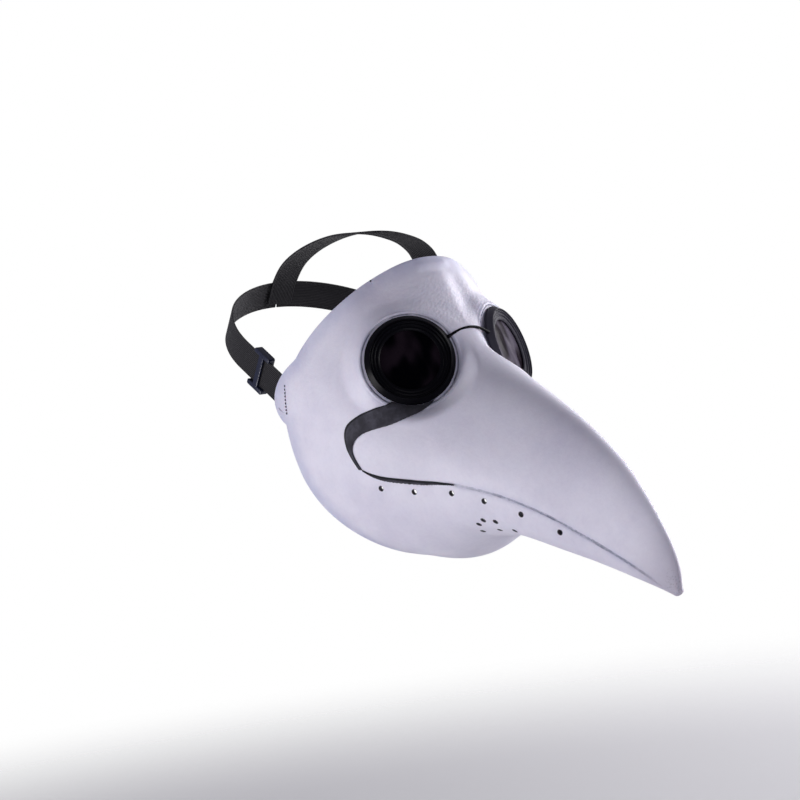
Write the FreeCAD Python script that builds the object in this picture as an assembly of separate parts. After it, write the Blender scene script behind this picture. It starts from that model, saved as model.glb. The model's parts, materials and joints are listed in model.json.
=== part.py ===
import FreeCAD, Part
import math
import os
from FreeCAD import Vector

# Beaked "plague doctor" half-head mask. Millimetres, +Z up, beak towards -Y,
# the wearer's left is +X. x = 0 is the midline and z = 0 the height of the goggle centres.

# ---------------------------------------------------------------- driving dimensions
SHELL_WALL = 2.0            # thickness of the moulded latex
EYE_X = 39.5                # goggle centre, half of the eye spacing
EYE_Y = -90.0
EYE_SPLAY = 30.0            # goggles look outwards by this many degrees
EYE_TILT = 14.0             # and upwards by this many
RIM_R = 29.0                # outer radius of the goggle rim
RIM_HEIGHT = 5.2             # the rim is a shallow cone that stands this far off the latex
RIM_WALL = 1.8               # upright part of the cone's edge
RIM_TOP_R = 26.3
NECK_R = 23.0               # the rim's neck goes through the latex
NECK_DEPTH = 5.6
EYE_HOLE_R = 23.8
SEAT_R = 29.6               # flat pad that the rim stands on
SEAT_GAP = 0.25             # the rim's flange and the retainer stay clear of the latex
RETAINER_TOP = -2.6
SEAT_BLEND_R = 43.0
LENS_R = 21.2
LENS_THICK = 1.6
LENS_LEDGE = 0.2             # the lens rests here, and the bezel on the step above it
BEZEL_LEDGE = 2.0
PART_GAP = 0.1
BEZEL_R = 25.3
BEZEL_BORE_R = 19.2
RETAINER_R = 27.5
WIRE_R = 1.1
VENT_R = 1.75
MOUTH_VENT_R = 1.25
BAND_THICK = 0.8            # flocked trim laid on the latex
BAND_LIFT = 0.2
STRAP_WIDTH = 20.0
STRAP_THICK = 1.2
STRAP_X = 73.3              # strap centre beside the head
STRAP_RISE = 35.0           # side straps climb backwards by this many degrees
STRAP_START = (-3.0, -15.0)  # y, z where the side strap leaves the temple tab
STRAIGHT_RUN = 58.0         # straight stretch that the slider travels on
STRAP_BACK = 128.0          # furthest point of the strap along its own rise
CROWN = [(-73.9, 53.0), (-69.0, 63.0), (-62.3, 71.5), (-48.0, 79.5), (-20.0, 87.0),
         (16.0, 90.0), (50.0, 86.5), (76.5, 78.5), (92.4, 66.5), (102.7, 51.9)]   # y, z of the strap over the head
SLIDER_AT = 37.0            # slider centre along the side strap
SLIDER_LENGTH = 17.0
SLIDER_LEG = 3.2
SLIDER_PLATE = 1.6
SLIDER_GAP = 0.45
THREAD_R = 0.35
STITCH_Y = -3.5              # the tab's stitch row, and its angles on the rim
STITCH_ANGLES = (77.5, 89.5)
STITCH_COUNT = 9
RINGS = 46                  # sections of the shell from rim to beak tip
SPOKES = 96                 # points round each section
SOLVER_PASSES = 30          # enough for a smooth surface to settle
INNER_END = 12.0            # the hollow stops at this station, the tip is solid
HOLLOW_END_SHRINK = 0.45    # its last ring is drawn in to a blunt end

# Sections from the face opening to the beak tip. Each is an oval through the top
# midline point (y, z), the widest point (x, y, z) and the bottom midline point (y, z),
# then how much the upper part is pinched, the lower part squared, and the sideways
# view of the section skewed and bowed.
STATIONS = [
    ((-73, 65), (78.5, -8, -24), (-58, -128), -.10, .28, -18, 6),
    ((-82.5, 47), (77.5, -27, -30), (-77, -130.5), -.06, .25, -15, 3),
    ((-92, 30), (76, -44, -37), (-94, -127.5), -.02, .22, -14, 0),
    ((-102, 16.4), (71, -64, -45), (-109, -121.5), .02, .18, -10, -4),
    ((-116, 1), (63.5, -84, -53), (-124, -118), .12, .16, -6, -4),
    ((-134.5, -11.5), (54.5, -105, -61), (-139, -117), .18, .14, -3, -2),
    ((-156.5, -23.4), (46, -128, -70), (-154, -118.5), .22, .12, 0, 0),
    ((-181.5, -38), (37.5, -152, -80), (-171, -123.5), .22, .10, 0, 0),
    ((-206, -54.5), (29.5, -176, -92), (-190, -130), .18, .08, 0, 0),
    ((-230, -75), (22, -198, -105), (-209, -136), .10, .06, 0, 0),
    ((-248, -97), (15.5, -218, -118), (-227, -142.5), .06, .04, 0, 0),
    ((-261, -118), (10.5, -236, -131), (-243, -148.5), .03, .02, 0, 0),
    ((-268.5, -138), (6.5, -251, -143), (-255, -153), 0, 0, 0, 0),
    ((-269, -152), (3, -265.75, -154.1), (-262.5, -156.2), 0, 0, 0, 0),
]
LAST = len(STATIONS) - 1

# Temple: the rim runs back beside the eye and ends in a half-moon tab for the strap.
TEMPLE = (75.0, 37.0, 9.5, 2.4)     # angle, half-width in degrees, reach, fade in stations
TAB = (81.5, 12.5, 12.0, 0.8)

# Trim edges as (station, angle from the top midline).
BAND_OUTER = [(3.88, 57), (3.71, 65), (3.45, 70), (3.06, 77), (2.70, 85.5), (2.67, 95), (2.88, 106)]
BAND_INNER = [(4.55, 42), (4.66, 52), (4.55, 62), (4.09, 74), (3.20, 86.5), (2.88, 96), (2.99, 106)]
MOUTH_UPPER = [(3.09, 106.3), (3.31, 107.5), (3.8, 108), (4.75, 106.5), (5.4, 103.8), (5.9, 102)]
MOUTH_LOWER = [(3.0, 107.1), (3.31, 109.6), (3.8, 110.8), (4.75, 109.4), (5.4, 106), (5.9, 103)]
SIDE_VENTS = [(3.25, 116), (4.36, 116), (5.66, 111), (6.63, 110), (7.67, 110), (8.78, 112)]
MOUTH_VENTS = [(5.79, 136), (5.20, 144), (4.50, 156), (6.30, 134), (5.55, 152), (6.60, 143)]


# ---------------------------------------------------------------- the mask's surface
def spline_slopes(values):
    """Second derivatives of the natural cubic through equally spaced values."""
    count = len(values)
    upper = [0.0] * count
    right = [0.0] * count
    result = [0.0] * count
    for i in range(1, count - 1):
        bend = 6 * (values[i - 1] - 2 * values[i] + values[i + 1])
        pivot = 4 - upper[i - 1]
        upper[i] = 1 / pivot
        right[i] = (bend - right[i - 1]) / pivot
    for i in range(count - 2, 0, -1):
        result[i] = right[i] - upper[i] * result[i + 1]
    return result


COLUMNS = list(zip(*[list(t) + list(m) + list(b) + rest for t, m, b, *rest in STATIONS]))
BENDS = [spline_slopes(column) for column in COLUMNS]


def section_at(station):
    """The section's ten values at a station from 0 (rim) to LAST (tip)."""
    index = min(int(station), LAST - 1)
    h = station - index
    g = 1 - h
    values = []
    for column, bend in zip(COLUMNS, BENDS):
        line = column[index] * g + column[index + 1] * h
        curve = (g ** 3 - g) * bend[index] / 6 + (h ** 3 - h) * bend[index + 1] / 6
        values.append(line + curve)
    return values


def bump(angle, station, shape):
    """A smooth local reach: centre angle, half-width, height and fade along the stations."""
    centre, half_width, reach, fade = shape
    off = (angle - centre) / half_width
    if abs(off) >= 1 or station >= fade:
        return 0.0
    return reach * (1 - off * off) ** 2 * (1 - station / fade) ** 2


def eye_normal(side):
    splay = math.radians(EYE_SPLAY)
    tilt = math.radians(EYE_TILT)
    flat = math.cos(tilt)
    return Vector(side * math.sin(splay) * flat, -math.cos(splay) * flat, math.sin(tilt))


def eye_centre(side):
    return Vector(side * EYE_X, EYE_Y, 0)


def flatten_at_eye(point, side):
    """Draw the surface onto the goggle's flat pad, fading out round it."""
    normal = eye_normal(side)
    offset = point - eye_centre(side)
    height = offset.dot(normal)
    radius = math.sqrt(max(offset.dot(offset) - height * height, 0))
    if radius >= SEAT_BLEND_R or abs(height) > 40:
        return point
    fade = min(max((radius - SEAT_R) / (SEAT_BLEND_R - SEAT_R), 0), 1)
    weight = 1 - fade * fade * (3 - 2 * fade)
    return point - normal * (weight * height)


def surface(station, angle):
    """Outer surface of the latex. Angle in degrees from the top midline, + towards +X."""
    ty, tz, w, my, mz, by, bz, pinch, square, skew, bow = section_at(station)
    phi = math.radians(angle)
    c = math.cos(phi)
    high = max(c, 0)
    low = max(-c, 0)
    x = w * math.sin(phi) * (1 - pinch * high * high + square * low * low)
    y = my + (ty - by) / 2 * c + ((ty + by) / 2 - my) * c * c
    y += skew * (c - c ** 3) + bow * (c * c - c ** 4)
    z = mz + (tz - bz) / 2 * c + ((tz + bz) / 2 - mz) * c * c
    folded = abs((angle + 180) % 360 - 180)
    y += bump(folded, station, TEMPLE) + bump(folded, station, TAB)
    return flatten_at_eye(Vector(x, y, z), 1 if x >= 0 else -1)


def outward(station, angle):
    """Unit normal of the surface, pointing out of the mask."""
    step = 0.02
    before = max(station - step, 0)
    after = min(station + step, LAST)
    along = surface(after, angle) - surface(before, angle)
    around = surface(station, angle + 0.5) - surface(station, angle - 0.5)
    normal = along.cross(around)
    normal.normalize()
    return normal


def lifted(station, angle, height):
    return surface(station, angle) + outward(station, angle) * height


# ---------------------------------------------------------------- helpers
def control_points(points, closed):
    """Uniform cubic control points of the curve through the given points."""
    count = len(points)
    poles = list(points)
    for _ in range(SOLVER_PASSES):
        for i in range(count) if closed else range(1, count - 1):
            poles[i] = (points[i] * 6 - poles[i - 1] - poles[(i + 1) % count]) * 0.25
    if closed:
        return poles
    second = points[0] + (poles[1] - points[0]) * (1 / 3)
    last_but_one = points[-1] + (poles[-2] - points[-1]) * (1 / 3)
    return [points[0], second] + poles[1:-1] + [last_but_one, points[-1]]


def grid_surface(rows, closed=False):
    """Smooth surface through a grid of points; closed rows run all the way round."""
    across = [control_points(row, closed) for row in rows]
    columns = [control_points(list(column), False) for column in zip(*across)]
    poles = [list(row) for row in zip(*columns)]
    along_knots = list(range(len(rows)))
    along_mults = [4] + [1] * (len(rows) - 2) + [4]
    spans = len(rows[0]) + (1 if closed else 0)
    across_knots = list(range(spans))
    across_mults = [1] * spans if closed else [4] + [1] * (spans - 2) + [4]
    patch = Part.BSplineSurface()
    patch.buildFromPolesMultsKnots(poles, along_mults, across_mults, along_knots, across_knots,
                                   False, closed, 3, 3)
    return patch


def solid_from(faces):
    shell = Part.makeShell(faces)
    shell.sewShape()
    solid = Part.makeSolid(shell)
    if solid.Volume < 0:
        solid.reverse()
    return solid


def slab(low, high):
    """Closed solid between two grids of points."""
    bottom = grid_surface(low)
    top = grid_surface(high)
    faces = [bottom.toShape(), top.toShape()]
    u0, u1, v0, v1 = bottom.bounds()
    p0, p1, q0, q1 = top.bounds()
    sides = [(bottom.uIso(u0), top.uIso(p0)), (bottom.uIso(u1), top.uIso(p1)),
             (bottom.vIso(v0), top.vIso(q0)), (bottom.vIso(v1), top.vIso(q1))]
    for below, above in sides:
        faces.append(Part.makeRuledSurface(below.toShape(), above.toShape()))
    return solid_from(faces)


def revolve_on_eye(profile, side):
    """Turn a closed outline of (radius, height) points about a goggle's axis."""
    points = [Vector(r, 0, h) for r, h in profile]
    face = Part.Face(Part.makePolygon(points + points[:1]))
    ring = face.revolve(Vector(0, 0, 0), Vector(0, 0, 1), 360)
    turn = FreeCAD.Rotation(Vector(0, 0, 1), eye_normal(side))
    ring.Placement = FreeCAD.Placement(eye_centre(side), turn)
    return ring


def eye_cylinder(side, radius, low, high):
    normal = eye_normal(side)
    return Part.makeCylinder(radius, high - low, eye_centre(side) + normal * low, normal)


def strap_frame(side):
    """Local directions of a side strap: outwards, along it, and across its width."""
    rise = math.radians(STRAP_RISE)
    out = Vector(side, 0, 0)
    along = Vector(0, math.cos(rise), math.sin(rise))
    across = Vector(0, -math.sin(rise), math.cos(rise))
    return out, along, across


def strap_point(side, out_at, along_at, across_at=0.0):
    out, along, across = strap_frame(side)
    start = Vector(0, *STRAP_START)
    return start + out * out_at + along * along_at + across * across_at


def block(side, out_range, along_range, across_range):
    """A box in a side strap's own directions."""
    corners = [(out_range[i], along_range[j]) for i, j in ((0, 0), (1, 0), (1, 1), (0, 1))]
    points = [strap_point(side, a, b, across_range[0]) for a, b in corners]
    face = Part.Face(Part.makePolygon(points + points[:1]))
    return face.extrude(strap_frame(side)[2] * (across_range[1] - across_range[0]))


def ribbon(path, width_vector):
    """Flat elastic whose middle line is a list of points, as wide as width_vector."""
    line = Part.BSplineCurve()
    line.interpolate(path)
    across = Vector(width_vector)
    across.normalize()
    count = 4 * len(path)
    sides = ([], [])
    for i in range(count + 1):
        at = line.FirstParameter + (line.LastParameter - line.FirstParameter) * i / count
        normal = line.tangent(at)[0].cross(across)
        normal.normalize()
        for row, sign in zip(sides, (1, -1)):
            row.append(line.value(at) + normal * (sign * STRAP_THICK / 2) - width_vector / 2)
    edges = []
    for row in sides:
        curve = Part.BSplineCurve()
        curve.interpolate(row)
        edges.append(curve.toShape())
    first = Part.makeLine(sides[0][0], sides[1][0])
    last = Part.makeLine(sides[0][-1], sides[1][-1])
    face = Part.Face(Part.Wire([edges[0], last, edges[1], first]))
    return face.extrude(width_vector)


# ---------------------------------------------------------------- latex shell
def shell_rings(last, depth):
    rows = []
    for i in range(RINGS + 1):
        station = last * i / RINGS
        angles = [180 + 360 * j / SPOKES for j in range(SPOKES)]
        row = [surface(station, a) - outward(station, a) * depth for a in angles]
        rows.append(row)
    return rows


def end_ring(row, shrink):
    """Plain oval across the beak with the height and width of a ring, times shrink."""
    top = row[SPOKES // 2]
    bottom = row[0]
    half_width = abs(row[SPOKES // 4].x)
    middle = Vector(0, 0, 0)
    for point in row:
        middle += point * (1 / len(row))
    ring = []
    for j in range(SPOKES):
        turn = math.radians(180 + 360 * j / SPOKES)
        rise = (top - bottom) * (math.cos(turn) * shrink / 2)
        ring.append(middle + rise + Vector(half_width * shrink * math.sin(turn), 0, 0))
    return ring


def make_shell():
    outer_rows = shell_rings(LAST, 0)
    inner_rows = shell_rings(INNER_END, SHELL_WALL)
    outer_rows[-1] = end_ring(outer_rows[-1], 1)
    inner_rows[-1] = end_ring(inner_rows[-1], HOLLOW_END_SHRINK)
    outer = grid_surface(outer_rows, closed=True)
    inner = grid_surface(inner_rows, closed=True)
    faces = [outer.toShape(), inner.toShape()]
    out_low, out_high = outer.bounds()[:2]
    in_low, in_high = inner.bounds()[:2]
    faces.append(Part.makeRuledSurface(outer.uIso(out_low).toShape(), inner.uIso(in_low).toShape()))
    faces.append(Part.Face(Part.Wire([outer.uIso(out_high).toShape()])))
    faces.append(Part.Face(Part.Wire([inner.uIso(in_high).toShape()])))
    shell = solid_from(faces)
    for side in (1, -1):
        shell = shell.cut(eye_cylinder(side, EYE_HOLE_R, -20, 20))
    return cut_vents(shell)


def cut_vents(shell):
    holes = [(at, VENT_R) for at in SIDE_VENTS] + [(at, MOUTH_VENT_R) for at in MOUTH_VENTS]
    tools = []
    for (station, angle), radius in holes:
        for side in (1, -1):
            normal = outward(station, side * angle)
            start = surface(station, side * angle) - normal * (3 * SHELL_WALL)
            tools.append(Part.makeCylinder(radius, 5 * SHELL_WALL, start, normal))
    return shell.cut(Part.makeCompound(tools))


# ---------------------------------------------------------------- goggles
def make_rim(side):
    outline = [(NECK_R, -NECK_DEPTH), (NECK_R, SEAT_GAP), (RIM_R, SEAT_GAP), (RIM_R, RIM_WALL),
               (RIM_TOP_R, RIM_HEIGHT - 0.2), (BEZEL_R + 0.4, RIM_HEIGHT),
               (BEZEL_R + PART_GAP, RIM_HEIGHT - 0.3), (BEZEL_R + PART_GAP, BEZEL_LEDGE),
               (LENS_R + PART_GAP, BEZEL_LEDGE), (LENS_R + PART_GAP, LENS_LEDGE),
               (19.6, LENS_LEDGE), (19.6, -NECK_DEPTH)]
    return revolve_on_eye(outline, side)


def make_bezel(side):
    low = BEZEL_LEDGE + PART_GAP
    outline = [(BEZEL_R, low), (BEZEL_R, low + 2.3), (24.5, low + 2.3), (24.1, low + 1.7),
               (22.6, low + 1.7), (22.2, low + 1.1), (20.7, low + 1.1), (BEZEL_BORE_R, low + 0.5),
               (BEZEL_BORE_R, low)]
    return revolve_on_eye(outline, side)


def make_lens(side):
    low = LENS_LEDGE + PART_GAP
    lens = eye_cylinder(side, LENS_R, low, low + LENS_THICK)
    return lens.makeChamfer(0.25, [e for e in lens.Edges if e.Closed])


def make_retainer(side):
    low = -NECK_DEPTH + 0.4
    high = RETAINER_TOP
    outline = [(NECK_R + 0.1, low), (NECK_R + 0.1, high), (RETAINER_R, high),
               (RETAINER_R, low + 1.0), (RETAINER_R - 1.0, low)]
    return revolve_on_eye(outline, side)


def make_bridge_wire():
    apex = lifted(3.08, 0, WIRE_R + 0.9)
    ends = []
    for side in (1, -1):
        normal = eye_normal(side)
        inwards = Vector(0, 0, 1).cross(normal) * -side
        inwards.normalize()
        up = Vector(0, 0, 1) - normal * normal.z
        up.normalize()
        turn = math.radians(24)
        spoke = inwards * math.cos(turn) + up * math.sin(turn)
        ends.append(eye_centre(side) + spoke * (RIM_R - 2.1) + normal * 2.4)
    arch = Part.Arc(ends[0], apex, ends[1]).toShape()
    start_dir = arch.tangentAt(arch.FirstParameter)
    ring = Part.Wire([Part.makeCircle(WIRE_R, ends[0], start_dir)])
    wire = Part.Wire([arch]).makePipeShell([ring], True, True)
    around_rim = [(20, -2), (RIM_R + 0.05, -2), (RIM_R + 0.05, RIM_WALL),
                  (RIM_TOP_R + 0.05, RIM_HEIGHT - 0.15), (20, RIM_HEIGHT - 0.15)]
    for side in (1, -1):
        wire = wire.cut(revolve_on_eye(around_rim, side))
    return wire


# ---------------------------------------------------------------- trim on the latex
def make_trim(first_edge, second_edge, side):
    """A thin strip between two edges, lying on the latex."""
    def smooth(edge):
        curve = Part.BSplineCurve()
        curve.interpolate([Vector(station, angle / 10, 0) for station, angle in edge])
        span = curve.LastParameter - curve.FirstParameter
        return [curve.value(curve.FirstParameter + span * i / 24) for i in range(25)]

    levels = []
    for height in (BAND_LIFT, BAND_LIFT + BAND_THICK):
        rows = []
        for a, b in zip(smooth(first_edge), smooth(second_edge)):
            row = []
            for k in range(5):
                at = a + (b - a) * (k / 4)
                row.append(lifted(at.x, side * at.y * 10, height))
            rows.append(row)
        levels.append(rows)
    trim = slab(*levels)
    return trim.cut(eye_cylinder(side, RIM_R + 0.25, -3, 15))


def make_patch(side):
    """Cloth patch that backs the temple tab inside the mask."""
    levels = []
    for depth in (SHELL_WALL + 0.1, SHELL_WALL + 0.7):
        stations = [0.12 + 0.75 * i / 6 for i in range(7)]
        levels.append([[lifted(s, side * (71 + 22 * j / 8), -depth) for j in range(9)]
                       for s in stations])
    return slab(*levels)


def make_top_patch():
    levels = []
    for depth in (SHELL_WALL + 0.1, SHELL_WALL + 0.7):
        stations = [0.1 + 0.75 * i / 6 for i in range(7)]
        levels.append([[lifted(s, -11 + 22 * j / 8, -depth) for j in range(9)] for s in stations])
    return slab(*levels)


# ---------------------------------------------------------------- straps
def side_path(side):
    """Middle line of a side strap: straight past the slider, then round the head."""
    points = [strap_point(side, STRAP_X, STRAIGHT_RUN * i / 4) for i in range(5)]
    for i in range(1, 10):
        turn = math.radians(90 * i / 10)
        out_at = STRAP_X * math.cos(turn)
        along_at = STRAIGHT_RUN + (STRAP_BACK - STRAIGHT_RUN) * math.sin(turn)
        points.append(strap_point(side, out_at, along_at))
    points.append(strap_point(side, 0.5, STRAP_BACK))
    return points


def make_side_strap(side):
    return ribbon(side_path(side), strap_frame(side)[2] * STRAP_WIDTH)


def make_top_strap():
    path = [Vector(0, y, z) for y, z in CROWN]
    return ribbon(path, Vector(STRAP_WIDTH, 0, 0))


def make_slider(side):
    """Ladder slider: its end bars pass inside the strap and its middle bar outside."""
    half = STRAP_WIDTH / 2 + SLIDER_GAP
    reach = SLIDER_LENGTH / 2
    inner = STRAP_X - STRAP_THICK / 2 - SLIDER_GAP
    outer = STRAP_X + STRAP_THICK / 2 + SLIDER_GAP
    low, high = inner - SLIDER_PLATE, outer + SLIDER_PLATE
    body = None
    for sign in (1, -1):
        edge = sorted((sign * half, sign * (half + SLIDER_LEG)))
        leg = block(side, (low, high), (SLIDER_AT - reach, SLIDER_AT + reach), edge)
        body = leg if body is None else body.fuse(leg)
    full = (-half - 1, half + 1)
    for sign in (1, -1):
        bar = sorted((SLIDER_AT + sign * reach, SLIDER_AT + sign * (reach - 3.4)))
        body = body.fuse(block(side, (low, inner), bar, full))
    middle = (SLIDER_AT - 2.4, SLIDER_AT + 2.4)
    body = body.fuse(block(side, (outer, high), middle, full)).removeSplitter()
    corners = []
    for edge in body.Edges:
        ends = [v.Point for v in edge.Vertexes]
        if len(ends) == 2 and abs((ends[1] - ends[0]).x) > high - low - 0.01:
            corners.append(edge)
    return body.makeFillet(1.2, corners)


# ---------------------------------------------------------------- thread
def stitch_row(first, last, count, normal):
    """Short lengths of thread lying in a row."""
    step = (last - first) * (1 / count)
    solids = []
    for i in range(count):
        start = first + step * (i + 0.2)
        solids.append(Part.makeCylinder(THREAD_R, step.Length * 0.6, start + normal, step))
    return solids


def station_at(angle, y):
    """Station where the surface line at this angle reaches a distance y."""
    low, high = 0.0, 2.0
    for _ in range(SOLVER_PASSES):
        middle = (low + high) / 2
        if surface(middle, angle).y > y:
            low = middle
        else:
            high = middle
    return (low + high) / 2


def make_tab_stitches(side):
    """One upright row of stitches across the root of the temple tab."""
    solids = []
    first, last = STITCH_ANGLES
    step = (last - first) / STITCH_COUNT
    for i in range(STITCH_COUNT):
        ends = []
        for angle in (first + step * (i + 0.15), first + step * (i + 0.85)):
            station = station_at(angle, STITCH_Y)
            ends.append(lifted(station, side * angle, THREAD_R + 0.15))
        run = ends[1] - ends[0]
        solids.append(Part.makeCylinder(THREAD_R, run.Length, ends[0], run))
    return Part.makeCompound(solids)


def make_rear_stitches():
    out, along, across = strap_frame(1)
    solids = []
    lift = along * (STRAP_THICK / 2 + THREAD_R + 0.05)
    for x in (-3.5, 3.5):
        first = strap_point(1, x, STRAP_BACK, -8)
        last = strap_point(1, x, STRAP_BACK, 8)
        solids += stitch_row(first, last, 5, lift)
    return Part.makeCompound(solids)


def build():
    nodes = {"mask_shell": make_shell(), "nose_bridge_wire": make_bridge_wire(),
             "top_strap": make_top_strap(), "top_patch": make_top_patch(),
             "rear_stitches": make_rear_stitches()}
    for name, side in (("left", 1), ("right", -1)):
        nodes["goggle_rim_" + name] = make_rim(side)
        nodes["goggle_bezel_" + name] = make_bezel(side)
        nodes["goggle_lens_" + name] = make_lens(side)
        nodes["goggle_retainer_" + name] = make_retainer(side)
        nodes["cheek_band_" + name] = make_trim(BAND_OUTER, BAND_INNER, side)
        nodes["mouth_strip_" + name] = make_trim(MOUTH_UPPER, MOUTH_LOWER, side)
        nodes["tab_patch_" + name] = make_patch(side)
        nodes["tab_stitches_" + name] = make_tab_stitches(side)
        nodes["side_strap_" + name] = make_side_strap(side)
        nodes["strap_slider_" + name] = make_slider(side)
    return nodes


os.makedirs("parts", exist_ok=True)
for node, shape in build().items():
    box = shape.BoundBox
    print(node, "valid" if shape.isValid() else "INVALID", len(shape.Solids), round(shape.Volume),
          [round(v, 1) for v in (box.XMin, box.YMin, box.ZMin, box.XMax, box.YMax, box.ZMax)])
    shape.exportStep("parts/" + node + ".step")
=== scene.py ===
import json
import logging
import math
from collections.abc import Callable
from dataclasses import dataclass, field
from enum import Enum

import bpy
import numpy as np
from mathutils import Matrix, Vector
from mathutils.kdtree import KDTree


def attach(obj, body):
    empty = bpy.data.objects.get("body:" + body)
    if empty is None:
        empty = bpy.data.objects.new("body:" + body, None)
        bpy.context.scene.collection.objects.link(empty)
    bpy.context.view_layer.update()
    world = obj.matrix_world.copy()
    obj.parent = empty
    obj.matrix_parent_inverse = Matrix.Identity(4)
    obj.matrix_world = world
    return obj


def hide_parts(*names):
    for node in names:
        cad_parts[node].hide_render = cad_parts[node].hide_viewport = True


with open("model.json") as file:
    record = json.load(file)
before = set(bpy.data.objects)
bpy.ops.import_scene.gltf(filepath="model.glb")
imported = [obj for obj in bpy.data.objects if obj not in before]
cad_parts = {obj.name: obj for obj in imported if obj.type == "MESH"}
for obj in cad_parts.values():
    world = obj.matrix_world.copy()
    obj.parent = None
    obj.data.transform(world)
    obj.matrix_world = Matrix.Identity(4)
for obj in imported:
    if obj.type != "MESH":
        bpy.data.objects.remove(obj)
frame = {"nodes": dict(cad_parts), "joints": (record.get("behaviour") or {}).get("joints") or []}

log = logging.getLogger("plague_mask")
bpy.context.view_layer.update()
MM = 0.001
PER_METRE = 1000
MERGE = 1e-6


class Side(Enum):
    """Which half of the mask a piece belongs to, as the wearer sees it."""

    LEFT = 1
    RIGHT = -1

    @property
    def tag(self) -> str:
        """The ending of the names of the pieces on this side."""
        return self.name.lower()


# ------------------------------------------------------------------ shader maths
def operator(operation: str, swapped: bool = False) -> Callable:
    """A method of Sock that adds one Math node.

    Args:
        operation: The node's operation.
        swapped: True where the other value comes first.

    Returns:
        The method.
    """
    def method(self: "Sock", other: object) -> "Sock":
        pair = (other, self) if swapped else (self, other)
        return self.nodes.node("ShaderNodeMath", {"operation": operation}, dict(enumerate(pair)))
    return method


class Sock:
    """A shader value that Python's operators can add nodes to."""

    def __init__(self, nodes: "Nodes", socket: bpy.types.NodeSocket) -> None:
        """Wraps one output socket of a node tree."""
        self.nodes = nodes
        self.socket = socket

    __add__ = __radd__ = operator("ADD")
    __sub__ = operator("SUBTRACT")
    __rsub__ = operator("SUBTRACT", swapped=True)
    __mul__ = __rmul__ = operator("MULTIPLY")
    most = operator("MAXIMUM")
    sine = operator("SINE")

    def wave(self, pitch: float) -> "Sock":
        """A sine from -1 to 1 that repeats every pitch."""
        return (self * (2 * math.pi / pitch)).sine(0.0)

    def step(self, low: float, high: float) -> "Sock":
        """Rises smoothly from 0 at low to 1 at high; with low above high it falls."""
        settings = {"interpolation_type": "SMOOTHSTEP"}
        if low < high:
            return self.nodes.node("ShaderNodeMapRange", settings, {0: self, 1: low, 2: high})
        return 1 - self.nodes.node("ShaderNodeMapRange", settings, {0: self, 1: high, 2: low})


class Nodes:
    """A node tree and the one way that nodes are added to it."""

    def __init__(self, tree: bpy.types.NodeTree) -> None:
        """Takes the tree to add to."""
        self.tree = tree

    def node(self, kind: str, settings: dict, values: dict, out: object = 0) -> Sock:
        """Adds a node.

        Args:
            kind: The node's type.
            settings: Attributes that are set first.
            values: Socket index or name to a number, colour or Sock.
            out: Which output to return.

        Returns:
            The chosen output.
        """
        made = self.tree.nodes.new(kind)
        for key, value in settings.items():
            setattr(made, key, value)
        for key, value in values.items():
            self.feed(made.inputs[key], value)
        return Sock(self, made.outputs[out])

    def feed(self, socket: bpy.types.NodeSocket, value: object) -> None:
        """Links a Sock to a socket, or sets the socket's own value."""
        if isinstance(value, Sock):
            self.tree.links.new(value.socket, socket)
        else:
            socket.default_value = value

    def vector(self, operation: str, first: object, second: object, out: object = 0) -> Sock:
        """Adds a Vector Math node."""
        return self.node("ShaderNodeVectorMath", {"operation": operation}, {0: first, 1: second}, out)


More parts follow.
